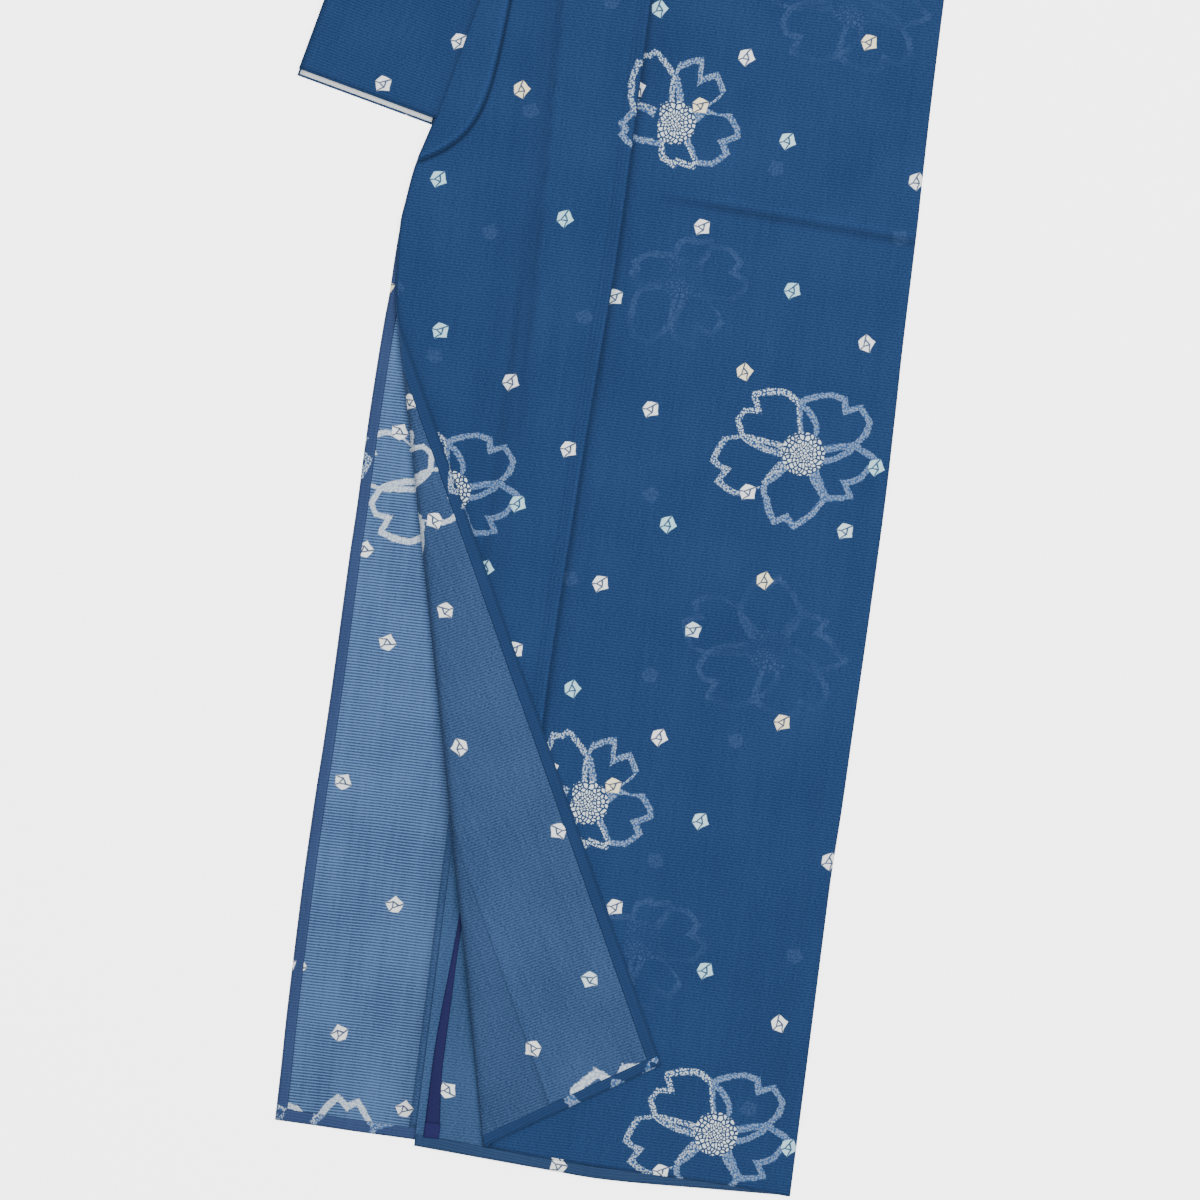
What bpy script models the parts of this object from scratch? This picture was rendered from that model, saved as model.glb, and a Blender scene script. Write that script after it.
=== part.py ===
"""A woman's unlined summer kimono, laid flat and folded in half down the centre of the back.

The cloth lies in four layers on the floor: lower front, lower back, upper back, upper front.
The lower corner of the upper overlap panel is turned back over the front.
Sizes are in millimetres: "across" runs from the side seam towards the front edge, "up" from
the hem to the shoulder, and "rise" from the floor. The model is scaled to metres at the end.
"""

import math
from collections import namedtuple

import bmesh
import bpy

MM = 0.001

# Cloth walls and the heights of the four layers, each at the middle of its wall
WALL = 1.0
GAP = 0.3
PITCH = WALL + GAP
LOWER_FRONT = WALL / 2
LOWER_BACK = LOWER_FRONT + PITCH
UPPER_BACK = LOWER_BACK + PITCH
UPPER_FRONT = UPPER_BACK + PITCH

# The garment's own sizes
LENGTH = 1600.0
LOWER_HEM = 7.0
BACK_HEM = 0.6
BACK_WIDTH = 288.0
OVERLAP_TIP = 1412.0
SEAM_STRAIGHTENS = 742.0
COLLAR_FOOT_ACROSS = 371.3
COLLAR_FOOT_UP = 775.0
COLLAR_LEAN = math.radians(12.9)
COLLAR_WIDTH = 110.0
COLLAR_FOLDED_WIDTH = 50.0
COLLAR_NARROWS_FROM = 330.0
COLLAR_NARROWS_OVER = 300.0
NECK_RADIUS = 85.0
NECK_STEPS = 10
LOWER_COLLAR_EXTRA = 6.0
LINING_INSET = 1.8
LINING_LENGTH = 300.0
SLEEVE_WIDTH = 340.0
SLEEVE_DROP = 490.0
SLEEVE_CORNER = 22.0
SHOULDER_EDGE = -30.0

# The tape that binds the back seam
TAPE_START = 270.0
TAPE_WIDTH = 11.5
TAPE_FOOT = 9.0
TAPE_HEAD = 1480.0
TAPE_END_RAMP = 30.0

# The corner that is turned back, about a straight line that leans away from the side seam
FOLD_FOOT = 234.0
FOLD_LEAN = 0.238
FOLD_TOP = 700.0
FOLD_RADIUS_AT_HEM = 1.0
FOLD_RADIUS = 3.5
FOLD_RADIUS_GROWS_OVER = 150.0
FLAP_CLEARANCE = 0.5
FLAP_SETTLES_OVER = 60.0

# The overlap panel's hem slants up towards the front edge
HEM_RISE_AT_SEAM = 1.4
HEM_RISE_AT_EDGE = 20.0
HEM_RISE_FADES_BY = 130.0

# The upper front climbs over the back seam's tape and sinks again past the folded back
CLIMB_START = 244.0
CLIMB_OVER = 13.0
CLIMB_SPARE = 0.1
SINK_START = 293.0
SINK_OVER = 28.0
SINK_EASED = 0.65
SINK_EASES_FROM = 640.0
SINK_EASES_OVER = 120.0
SINK_STOPS_BY_COLLAR = 24.0

# The tuck beside the collar's foot: a steep lip, a long back, and a foot that bends outwards
TUCK_LIFT = 3.0
TUCK_CREST = 332.0
TUCK_CREST_UP = 800.0
TUCK_LEAN = 0.06
TUCK_BEND = 36.0
TUCK_FOOT = 748.0
TUCK_BENDS_OVER = 22.0
TUCK_LIP_START = -6.0
TUCK_LIP = 9.0
TUCK_BACK_START = 3.0
TUCK_BACK = 34.0
TUCK_FADES_FROM = 850.0
TUCK_TOP = 1000.0

# The middle of the whole garment's box, which is the model's origin
SLEEVE_REACH = SHOULDER_EDGE - GAP - SLEEVE_WIDTH

Station = namedtuple("Station", "up across")
Finish = namedtuple("Finish", "colour roughness")

SIDE_EDGE = [
    Station(0, 0.0),
    Station(400, 0.0),
    Station(620, 1.0),
    Station(770, 2.6),
    Station(915, 2.3),
    Station(1100, -8.0),
    Station(1370, SHOULDER_EDGE),
    Station(LENGTH, SHOULDER_EDGE),
]
PANEL_SEAM = [
    Station(0, 233.5),
    Station(355, 233.3),
    Station(513, 229.5),
    Station(SEAM_STRAIGHTENS, 222.0),
    Station(LENGTH, 222.0),
]
UPPER_FRONT_EDGE = [
    Station(0, 383.0),
    Station(600, 383.0),
    Station(650, 385.0),
    Station(693, 386.5),
    Station(727, 382.0),
    Station(752, 377.0),
    Station(COLLAR_FOOT_UP, COLLAR_FOOT_ACROSS),
]
LOWER_FRONT_EDGE = [
    Station(0, 394.0),
    Station(90, 394.5),
    Station(335, 391.6),
    Station(560, 386.3),
    Station(635, 384.0),
    Station(700, 383.0),
    Station(COLLAR_FOOT_UP - LOWER_COLLAR_EXTRA, COLLAR_FOOT_ACROSS + 1.3),
]

FACE_BLUE = Finish((0.012, 0.060, 0.190), 0.8)
WRONG_SIDE_BLUE = Finish((0.060, 0.135, 0.290), 0.85)
LINING_WHITE = Finish((0.78, 0.76, 0.73), 0.7)
TAPE_PURPLE = Finish((0.018, 0.012, 0.140), 0.6)


def smooth(share):
    """A soft step from 0 to 1."""
    share = min(max(share, 0.0), 1.0)
    return share * share * (3 - 2 * share)


def mix(start, end, share):
    return start + (end - start) * share


def spread(start, end, steps):
    """Evenly spaced values from start to end."""
    return [mix(start, end, k / steps) for k in range(steps + 1)]


def read(table, up):
    """The across value of a table at a height, on a smooth curve that never overshoots."""
    if up <= table[0].up:
        return table[0].across
    if up >= table[-1].up:
        return table[-1].across
    place = max(k for k, row in enumerate(table) if row.up <= up)
    slopes = [
        (after.across - before.across) / (after.up - before.up)
        for before, after in zip(table, table[1:])
    ]

    def tangent(k):
        if k == 0 or k == len(table) - 1:
            return slopes[min(k, len(slopes) - 1)]
        before, after = slopes[k - 1], slopes[k]
        return 0.0 if before * after <= 0 else 2 * before * after / (before + after)

    low, high = table[place], table[place + 1]
    span = high.up - low.up
    t = (up - low.up) / span
    return (
        low.across * (1 - t) ** 2 * (1 + 2 * t)
        + high.across * t**2 * (3 - 2 * t)
        + tangent(place) * span * t * (1 - t) ** 2
        - tangent(place + 1) * span * t**2 * (1 - t)
    )


# The collar's path: a leaning straight, then an arc round the neck to the centre back
STRAIGHT_TOP = LENGTH - NECK_RADIUS * (1 + math.sin(COLLAR_LEAN))
STRAIGHT_LENGTH = (STRAIGHT_TOP - COLLAR_FOOT_UP) / math.cos(COLLAR_LEAN)
NECK_ACROSS = (
    COLLAR_FOOT_ACROSS
    - STRAIGHT_LENGTH * math.sin(COLLAR_LEAN)
    + NECK_RADIUS * math.cos(COLLAR_LEAN)
)
NECK_UP = LENGTH - NECK_RADIUS
ARC_ANGLE = math.pi / 2 + COLLAR_LEAN
HALF_COLLAR = STRAIGHT_LENGTH + NECK_RADIUS * ARC_ANGLE

CENTRE_ACROSS = (
    COLLAR_FOOT_ACROSS
    + LOWER_COLLAR_EXTRA * math.sin(COLLAR_LEAN)
    + COLLAR_WIDTH * math.cos(COLLAR_LEAN)
    + SLEEVE_REACH
) / 2
CENTRE_UP = (LENGTH + PITCH / 2 + WALL / 2) / 2


def collar_point(along, out):
    """A place on the flat collar: along its seam from the foot, and out from the seam."""
    if along <= STRAIGHT_LENGTH:
        lean = COLLAR_LEAN
        across = COLLAR_FOOT_ACROSS - along * math.sin(lean) + out * math.cos(lean)
        up = COLLAR_FOOT_UP + along * math.cos(lean) + out * math.sin(lean)
        return across, up
    turned = (along - STRAIGHT_LENGTH) / NECK_RADIUS
    angle = math.pi + COLLAR_LEAN - turned
    radius = NECK_RADIUS - out
    return NECK_ACROSS + radius * math.cos(angle), NECK_UP + radius * math.sin(angle)


def collar_seam(up):
    """How far across the collar's seam is at a height."""
    if up <= STRAIGHT_TOP:
        return COLLAR_FOOT_ACROSS - (up - COLLAR_FOOT_UP) * math.tan(COLLAR_LEAN)
    reach = max(NECK_RADIUS**2 - (up - NECK_UP) ** 2, 0.0)
    return NECK_ACROSS - math.sqrt(reach)


def tuck(across, up):
    """The soft tuck that runs up beside the collar's foot."""
    bend = TUCK_BEND * math.exp((TUCK_FOOT - up) / TUCK_BENDS_OVER)
    past = across - TUCK_CREST + TUCK_LEAN * (up - TUCK_CREST_UP) - bend
    lip = smooth((past - TUCK_LIP_START) / TUCK_LIP)
    back = 1 - smooth((past - TUCK_BACK_START) / TUCK_BACK)
    fade = 1 - smooth((up - TUCK_FADES_FROM) / (TUCK_TOP - TUCK_FADES_FROM))
    return TUCK_LIFT * lip * back * fade


def upper_rise(across, up):
    """The height of the upper front layer, which rides over the tape and sinks past the fold."""
    over_tape = smooth((across - CLIMB_START) / CLIMB_OVER)
    over_tape *= 1 - smooth((up - TAPE_HEAD) / TAPE_END_RAMP)
    past_back = smooth((across - SINK_START) / SINK_OVER)
    eased = 1 - SINK_EASED * smooth((up - SINK_EASES_FROM) / SINK_EASES_OVER)
    to_collar = collar_seam(up) - across if up < STRAIGHT_TOP else 0.0
    sink = 2 * PITCH * past_back * eased * smooth(to_collar / SINK_STOPS_BY_COLLAR)
    climb = (PITCH + CLIMB_SPARE) * over_tape * (1 - past_back)
    return UPPER_FRONT + climb - sink + tuck(across, up)


def fold_radius(up):
    return mix(FOLD_RADIUS_AT_HEM, FOLD_RADIUS, smooth(up / FOLD_RADIUS_GROWS_OVER))


def folded(across, up):
    """Carries a point of the flat overlap panel round the oblique fold and onto the front.

    Half of the cloth in the roll lies on each side of the fold line.
    """
    length = math.hypot(1, FOLD_LEAN)
    normal = (1 / length, -FOLD_LEAN / length)
    radius = fold_radius(up)
    past = (across - FOLD_FOOT) * normal[0] + up * normal[1] + math.pi * radius / 2
    if past <= 0 or up > FOLD_TOP:
        return across, up, upper_rise(across, up)
    start = (across - past * normal[0], up - past * normal[1])
    if past < math.pi * radius:
        angle = past / radius
        out = radius * math.sin(angle)
        rise = upper_rise(*start) + radius * (1 - math.cos(angle))
        return start[0] + out * normal[0], start[1] + out * normal[1], rise
    back = past - math.pi * radius
    place = (start[0] - back * normal[0], start[1] - back * normal[1])
    clear = PITCH + FLAP_CLEARANCE
    held_up = (2 * radius - clear) * (1 - smooth(back / FLAP_SETTLES_OVER))
    return place[0], place[1], upper_rise(*place) + clear + held_up


def material(name, finish):
    made = bpy.data.materials.new(name)
    made.use_nodes = True
    shader = made.node_tree.nodes["Principled BSDF"]
    shader.inputs["Base Color"].default_value = (*finish.colour, 1.0)
    shader.inputs["Roughness"].default_value = finish.roughness
    shader.inputs["Metallic"].default_value = 0.0
    return made


def cloth(name, columns, rows, place, finish, collection):
    """Makes one piece: a grid whose crossing (column, row) goes to place(column, row), as a wall."""
    bm = bmesh.new()
    bmesh.ops.create_grid(bm, x_segments=columns, y_segments=rows, size=0.5)
    for vertex in bm.verts:
        column = round((vertex.co.x + 0.5) * columns)
        row = round((vertex.co.y + 0.5) * rows)
        across, up, rise = place(column, row)
        vertex.co = ((CENTRE_ACROSS - across) * MM, (up - CENTRE_UP) * MM, rise * MM)
    bmesh.ops.recalc_face_normals(bm, faces=bm.faces)
    mesh = bpy.data.meshes.new(name)
    bm.to_mesh(mesh)
    bm.free()
    mesh.shade_smooth()
    piece = bpy.data.objects.new(name, mesh)
    mesh.materials.append(material(name, finish))
    collection.objects.link(piece)
    wall = piece.modifiers.new("Wall", "SOLIDIFY")
    wall.thickness = WALL * MM
    wall.offset = 0.0
    wall.use_even_offset = True
    wall.use_quality_normals = True
    return piece


def neck_rows():
    """Heights of the neck's arc at the collar's own stations, so that both have the same facets."""
    turns = [ARC_ANGLE * k / NECK_STEPS for k in range(NECK_STEPS + 1)]
    return [NECK_UP + NECK_RADIUS * math.sin(math.pi + COLLAR_LEAN - turn) for turn in turns]


def body(name, front_rise, back_rise, hem, collection):
    """A body strip: front panel, over the shoulder, and back panel in one length of cloth."""
    columns = 6
    turn_steps = 4
    heights = spread(hem, SEAM_STRAIGHTENS, 10) + spread(SEAM_STRAIGHTENS, OVERLAP_TIP, 9)[1:]
    heights += spread(OVERLAP_TIP, STRAIGHT_TOP, 2)[1:-1] + neck_rows()
    back_heights = spread(LENGTH, BACK_HEM, 12)
    total = len(heights) + turn_steps + len(back_heights) - 2
    radius = abs(front_rise(0, LENGTH) - back_rise) / 2

    def place(column, row):
        share = column / columns
        if row < len(heights):
            up = heights[row]
            inner = read(PANEL_SEAM, up) if up <= OVERLAP_TIP else collar_seam(up) - GAP
            across = mix(read(SIDE_EDGE, up), min(inner, BACK_WIDTH), share)
            return across, up, front_rise(across, up)
        across = mix(SHOULDER_EDGE, BACK_WIDTH, share)
        step = row - len(heights) + 1
        if step < turn_steps:
            angle = math.pi * step / turn_steps
            middle = (front_rise(across, LENGTH) + back_rise) / 2
            swing = (front_rise(across, LENGTH) - back_rise) / 2
            return across, LENGTH + radius * math.sin(angle), middle + swing * math.cos(angle)
        up = back_heights[step - turn_steps]
        return mix(read(SIDE_EDGE, up), BACK_WIDTH, share), up, back_rise

    return cloth(name, columns, total, place, FACE_BLUE, collection)


def upper_overlap(collection):
    """The upper overlap panel, with its lower corner turned back over the front."""
    base_columns = 8
    turn_columns = 5
    flap_columns = 8
    columns = base_columns + turn_columns + flap_columns
    heights = [0, 10, 22, 36] + spread(54, 630, 32) + spread(650, TUCK_TOP, 14)
    heights += spread(TUCK_TOP, OVERLAP_TIP, 6)[1:]
    fold_ends_from = 520.0
    fold_ends_over = 130.0
    plain_start_share = 0.62
    plain_width = 14.0

    def place(column, row):
        up = heights[row]
        inner = read(PANEL_SEAM, up) + GAP
        outer = read(UPPER_FRONT_EDGE, up) if up < COLLAR_FOOT_UP else collar_seam(up) - GAP
        plain_start = mix(inner, outer, plain_start_share)
        turn = math.pi * fold_radius(up) * math.hypot(1, FOLD_LEAN)
        fold_start = max(FOLD_FOOT + FOLD_LEAN * up - turn / 2, inner + 2 * GAP)
        leaving = smooth((up - fold_ends_from) / fold_ends_over)
        start = mix(fold_start, plain_start, leaving)
        end = min(start + mix(turn, plain_width, leaving), mix(start, outer, plain_start_share))
        if column <= base_columns:
            across = mix(inner, start, column / base_columns)
        elif column <= base_columns + turn_columns:
            across = mix(start, end, (column - base_columns) / turn_columns)
        else:
            across = mix(end, outer, (column - base_columns - turn_columns) / flap_columns)
        hem_rise = mix(HEM_RISE_AT_SEAM, HEM_RISE_AT_EDGE, (across - inner) / (outer - inner))
        lifted = up + hem_rise * (1 - smooth(up / HEM_RISE_FADES_BY))
        return folded(across, lifted)

    return cloth("okumi_upper", columns, len(heights) - 1, place, WRONG_SIDE_BLUE, collection)


def lower_overlap(collection):
    """The lower overlap panel, flat on the floor with its wrong side up."""
    columns = 4
    foot_up = COLLAR_FOOT_UP - LOWER_COLLAR_EXTRA
    heights = spread(LOWER_HEM, foot_up, 14) + spread(foot_up, OVERLAP_TIP, 7)[1:]

    def place(column, row):
        up = heights[row]
        inner = read(PANEL_SEAM, up) + GAP
        outer = read(LOWER_FRONT_EDGE, up) if up <= foot_up else collar_seam(up) - GAP
        return mix(inner, outer, column / columns), up, LOWER_FRONT

    return cloth("okumi_lower", columns, len(heights) - 1, place, WRONG_SIDE_BLUE, collection)


def collar_reach(along):
    """The collar is open to its full width at its foot and folded in half round the neck."""
    share = smooth((along - COLLAR_NARROWS_FROM) / COLLAR_NARROWS_OVER)
    return mix(COLLAR_WIDTH, COLLAR_FOLDED_WIDTH, share)


def collar(collection):
    """One strip from the upper foot, round the neck and back down to the lower foot."""
    columns = 6
    half = spread(0, STRAIGHT_LENGTH, 16) + [
        STRAIGHT_LENGTH + NECK_RADIUS * ARC_ANGLE * k / NECK_STEPS for k in range(1, NECK_STEPS + 1)
    ]
    turn_steps = 4
    lower_half = list(reversed(half[:-1])) + [-LOWER_COLLAR_EXTRA]
    total = len(half) + turn_steps + len(lower_half)

    def place(column, row):
        share = column / columns
        if row < len(half):
            along = half[row]
            across, up = collar_point(along, mix(GAP / 2, collar_reach(along), share))
            return across, up, upper_rise(across, up)
        top = collar_point(HALF_COLLAR, mix(GAP / 2, COLLAR_FOLDED_WIDTH, share))
        high = upper_rise(*top)
        step = row - len(half) + 1
        if step <= turn_steps:
            angle = math.pi * step / turn_steps
            out = (high - LOWER_FRONT) / 2
            middle = (high + LOWER_FRONT) / 2
            return top[0] + out * math.sin(angle), top[1], middle + out * math.cos(angle)
        along = lower_half[step - turn_steps - 1]
        across, up = collar_point(along, mix(GAP / 2, collar_reach(along), share))
        return across, up, LOWER_FRONT

    return cloth("collar", columns, total - 1, place, FACE_BLUE, collection)


def collar_lining(name, start, rise, collection):
    """The white lining at the collar's foot, which shows below the upper collar's end."""
    columns = 4
    rows = 8

    def place(column, row):
        along = mix(start, start + LINING_LENGTH, row / rows)
        out = mix(LINING_INSET, collar_reach(along) - LINING_INSET, column / columns)
        across, up = collar_point(along, out)
        return across, up, rise

    return cloth(name, columns, rows, place, LINING_WHITE, collection)


def back_seam_tape(collection):
    """The narrow tape that binds the back seam's edges on the wrong side."""
    columns = 2
    rows = 12

    def place(column, row):
        across = TAPE_START + TAPE_WIDTH * column / columns
        return across, mix(TAPE_FOOT, TAPE_HEAD, row / rows), UPPER_BACK + PITCH

    return cloth("back_seam_tape", columns, rows, place, TAPE_PURPLE, collection)


def sleeve(name, low, high, collection):
    """A sleeve: one width folded at the shoulder, with its two lower edges sewn together."""
    corner_steps = 6
    layer_steps = 5
    turn_steps = 4
    radius = (high - low) / 2
    middle = (high + low) / 2
    bends = [math.pi / 2 * k / corner_steps for k in range(corner_steps + 1)]
    corner = [SLEEVE_REACH + SLEEVE_CORNER * (1 - math.sin(bend)) for bend in bends]
    stations = spread(SHOULDER_EDGE - GAP, corner[0], 4)[:-1] + corner

    def place(column, row):
        across = stations[column]
        into_corner = max(SLEEVE_REACH + SLEEVE_CORNER - across, 0.0)
        lift = SLEEVE_CORNER - math.sqrt(SLEEVE_CORNER**2 - into_corner**2)
        foot = LENGTH - SLEEVE_DROP + lift
        if row <= layer_steps:
            return across, mix(foot, LENGTH, row / layer_steps), high
        if row < layer_steps + turn_steps:
            angle = math.pi * (row - layer_steps) / turn_steps
            return across, LENGTH + radius * math.sin(angle), middle + radius * math.cos(angle)
        share = (row - layer_steps - turn_steps) / layer_steps
        return across, mix(LENGTH, foot, share), low

    rows = 2 * layer_steps + turn_steps
    return cloth(name, len(stations) - 1, rows, place, FACE_BLUE, collection)


def main():
    for thing in list(bpy.data.objects):
        bpy.data.objects.remove(thing, do_unlink=True)
    garment = bpy.data.collections.new("kimono")
    bpy.context.scene.collection.children.link(garment)
    body("body_upper", upper_rise, UPPER_BACK, 0.0, garment)
    body("body_lower", lambda across, up: LOWER_FRONT, LOWER_BACK, LOWER_HEM, garment)
    upper_overlap(garment)
    lower_overlap(garment)
    collar(garment)
    collar_lining("collar_lining_upper", 1.0, UPPER_BACK, garment)
    collar_lining("collar_lining_lower", LINING_INSET - LOWER_COLLAR_EXTRA, LOWER_BACK, garment)
    back_seam_tape(garment)
    sleeve("sleeve_upper", UPPER_BACK, UPPER_FRONT, garment)
    sleeve("sleeve_lower", LOWER_FRONT, LOWER_BACK, garment)


main()
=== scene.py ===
# %% [markdown]
# # A summer kimono, laid flat
# The garment is one long strip of cloth for each half of the body, two narrow overlap panels,
# a wide collar and two sleeves, all cut straight from one narrow bolt. It is folded in half
# down the centre of the back, so four layers of cloth lie on each other, and the lower corner
# of the top overlap panel is turned back. Everything here is thin cloth, so each panel is a
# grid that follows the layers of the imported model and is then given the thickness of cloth.

# %% The frame
import math

import bmesh
import bpy
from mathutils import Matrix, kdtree


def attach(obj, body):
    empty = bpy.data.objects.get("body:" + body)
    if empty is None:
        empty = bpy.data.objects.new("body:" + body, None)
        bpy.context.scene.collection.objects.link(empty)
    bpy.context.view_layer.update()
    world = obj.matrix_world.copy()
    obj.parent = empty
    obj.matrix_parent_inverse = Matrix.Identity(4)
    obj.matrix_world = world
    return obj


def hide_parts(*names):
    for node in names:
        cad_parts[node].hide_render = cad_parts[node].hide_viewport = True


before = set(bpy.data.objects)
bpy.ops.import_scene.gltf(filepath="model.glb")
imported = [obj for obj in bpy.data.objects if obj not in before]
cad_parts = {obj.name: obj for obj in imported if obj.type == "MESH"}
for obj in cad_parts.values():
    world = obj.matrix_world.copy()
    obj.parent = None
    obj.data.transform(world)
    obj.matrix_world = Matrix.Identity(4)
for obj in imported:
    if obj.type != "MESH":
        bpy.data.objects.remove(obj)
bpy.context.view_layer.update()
print("nodes:", sorted(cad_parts))

# %% [markdown]
# ## The floor, the light and the camera
# The garment was photographed from straight above, on a white floor under soft light. A long
# lens keeps its edges straight, and the camera is turned a few degrees, which is why the
# garment leans. One large lamp overhead makes every slope a little darker than the flat cloth.
# A lamp alone would leave the floor grey, so the floor also glows a little by itself.

# %% Sizes of the photograph
MM = 0.001
VIEW_WIDTH = 912.0
VIEW_TURN = math.radians(7.31)
VIEW_ACROSS = 200.6
VIEW_UP = 428.7
CENTRE_ACROSS = 54.78
CENTRE_UP = 800.575


def spot(across, up, rise):
    """A place in metres, from millimetres across from the side seam, up from the hem and high."""
    return ((CENTRE_ACROSS - across) * MM, (up - CENTRE_UP) * MM, rise * MM)


def added(name, data):
    """A new object in the scene."""
    thing = bpy.data.objects.new(name, data)
    bpy.context.scene.collection.objects.link(thing)
    return thing


# %% Camera
lens = bpy.data.cameras.new("camera")
lens.lens = 85.0
lens.sensor_width = 36.0
camera = added("camera", lens)
camera.location = spot(VIEW_ACROSS, VIEW_UP, VIEW_WIDTH * lens.lens / lens.sensor_width)
camera.rotation_euler = (0.0, 0.0, VIEW_TURN)
bpy.context.scene.camera = camera
print("camera height in metres:", round(camera.location.z, 3))

# %% Lights
WHITE = (1.0, 1.0, 1.0, 1.0)
LAMP_SIZE = 2.6
LAMP_POWER = 107.0
LAMP_PLACE = (0.5, 0.2, 2.6)
LAMP_TILT = 0.18
SKY_STRENGTH = 0.7
lamp_data = bpy.data.lights.new("overhead", "AREA")
lamp_data.size = LAMP_SIZE
lamp_data.energy = LAMP_POWER
lamp = added("overhead", lamp_data)
lamp.location = LAMP_PLACE
lamp.rotation_euler = (0.0, LAMP_TILT, 0.0)
world = bpy.data.worlds.new("studio")
world.use_nodes = True
sky = world.node_tree.nodes["Background"]
sky.inputs["Color"].default_value = WHITE
sky.inputs["Strength"].default_value = SKY_STRENGTH
bpy.context.scene.world = world
print("lamp:", lamp_data.shape, lamp_data.size, "metres wide")

# %% Floor
FLOOR_HALF = 25.0
FLOOR_GREY = 0.93
FLOOR_ROUGHNESS = 0.9
FLOOR_GLOW = 3.0
floor_mesh = bpy.data.meshes.new("floor")
floor_form = bmesh.new()
bmesh.ops.create_grid(floor_form, x_segments=1, y_segments=1, size=FLOOR_HALF)
floor_form.to_mesh(floor_mesh)
floor_form.free()
floor = added("floor", floor_mesh)
floor_paint = bpy.data.materials.new("floor_paint")
floor_paint.use_nodes = True
floor_shader = floor_paint.node_tree.nodes["Principled BSDF"]
floor_shader.inputs["Base Color"].default_value = (FLOOR_GREY, FLOOR_GREY, FLOOR_GREY, 1.0)
floor_shader.inputs["Roughness"].default_value = FLOOR_ROUGHNESS
floor_shader.inputs["Emission Color"].default_value = WHITE
floor_shader.inputs["Emission Strength"].default_value = FLOOR_GLOW
floor_mesh.materials.append(floor_paint)

# %% [markdown]
# ## The garment's sizes
# All the panels share a few sizes, in millimetres. A row of an edge's table says how far across
# the edge is at a height, and a row of a hem's table says how far the hem is up at a place
# across. A soft step, a bell and a smooth curve through a table place every edge and fold.

# %% Layers and edges
WALL = 1.0
PITCH = 1.3
LOWER_FRONT = WALL / 2
LOWER_BACK = LOWER_FRONT + PITCH
UPPER_BACK = LOWER_BACK + PITCH
UPPER_FRONT = UPPER_BACK + PITCH
CLOTH = 0.45
LENGTH = 1600.0
BACK_WIDTH = 288.0
OVERLAP_TIP = 1412.0
SHOULDER_EDGE = -30.0
SEAM_ACROSS = 233.5
FRONT_ACROSS = 383.0
LOWER_FOOT = 769.0
SIDE_EDGE = [
    (0, 0.0), (230, 0.0), (300, -1.8), (347, -2.4), (440, -3.8), (530, -4.6), (600, -3.8),
    (646, -2.9), (738, -2.3), (784, -1.4), (830, -0.8), (900, -0.5), (1100, -8.0),
    (1370, SHOULDER_EDGE),
]
PANEL_SEAM = [(0, SEAM_ACROSS), (355, 233.3), (513, 229.5), (742, 222.0), (1600, 222.0)]
UPPER_EDGE = [
    (0, FRONT_ACROSS), (600, FRONT_ACROSS), (650, 385.0), (693, 387.0), (711, 385.2),
    (735, 382.0), (752, 377.6), (775, 371.3),
]
LOWER_EDGE = [
    (0, 395.0), (45, 395.6), (90, 396.6), (180, 397.1), (250, 396.2), (296, 394.9),
    (342, 394.1), (434, 393.5), (481, 392.6), (527, 392.4), (573, 391.5), (619, 389.9),
    (640, 388.7), (665, 388.2), (690, 387.2), (715, 385.0), (735, 382.2), (755, 376.5),
    (LOWER_FOOT, 372.6),
]
FRONT_HEM = [(0, -1.7), (28, -0.3), (55, 1.2), (130, 2.0), (187, 3.5), (234, 6.7)]
BACK_HEM = [(0, -1.1), (55, -3.5), (146, -6.9), (186, -5.1), (288, 0.2)]


def smooth(share):
    """A soft step from 0 to 1."""
    share = min(max(share, 0.0), 1.0)
    return share * share * (3 - 2 * share)


def mix(start, end, share):
    return start + (end - start) * share


def spread(start, end, steps):
    """Evenly spaced values from start to end."""
    return [mix(start, end, k / steps) for k in range(steps + 1)]


def bell(place, middle, width):
    """1 at the middle, and less and less on both sides of it."""
    return math.exp(-(((place - middle) / width) ** 2))


def read(table, place):
    """A table's value at a place, on a smooth curve that never overshoots."""
    if place <= table[0][0]:
        return table[0][1]
    if place >= table[-1][0]:
        return table[-1][1]
    k = max(j for j, row in enumerate(table) if row[0] <= place)
    slopes = [(b[1] - a[1]) / (b[0] - a[0]) for a, b in zip(table, table[1:])]

    def tangent(j):
        if j == 0 or j == len(table) - 1:
            return slopes[min(j, len(slopes) - 1)]
        before, after = slopes[j - 1], slopes[j]
        return 0.0 if before * after <= 0 else 2 * before * after / (before + after)

    span = table[k + 1][0] - table[k][0]
    t = (place - table[k][0]) / span
    start = table[k][1] * (1 - t) ** 2 * (1 + 2 * t) + tangent(k) * span * t * (1 - t) ** 2
    end = table[k + 1][1] * t**2 * (3 - 2 * t) - tangent(k + 1) * span * t**2 * (1 - t)
    return start + end


# %% The collar's path
COLLAR_FOOT = (371.3, 775.0)
COLLAR_LEAN = math.radians(12.9)
COLLAR_WIDTH = 110.0
COLLAR_FOLDED = 50.0
COLLAR_OPEN = 330.0
NECK_RADIUS = 85.0
NECK_UP = LENGTH - NECK_RADIUS
STRAIGHT_TOP = LENGTH - NECK_RADIUS * (1 + math.sin(COLLAR_LEAN))
STRAIGHT = (STRAIGHT_TOP - COLLAR_FOOT[1]) / math.cos(COLLAR_LEAN)
NECK_ACROSS = COLLAR_FOOT[0] - STRAIGHT * math.sin(COLLAR_LEAN) + NECK_RADIUS * math.cos(COLLAR_LEAN)
HALF_COLLAR = STRAIGHT + NECK_RADIUS * (math.pi / 2 + COLLAR_LEAN)


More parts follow.
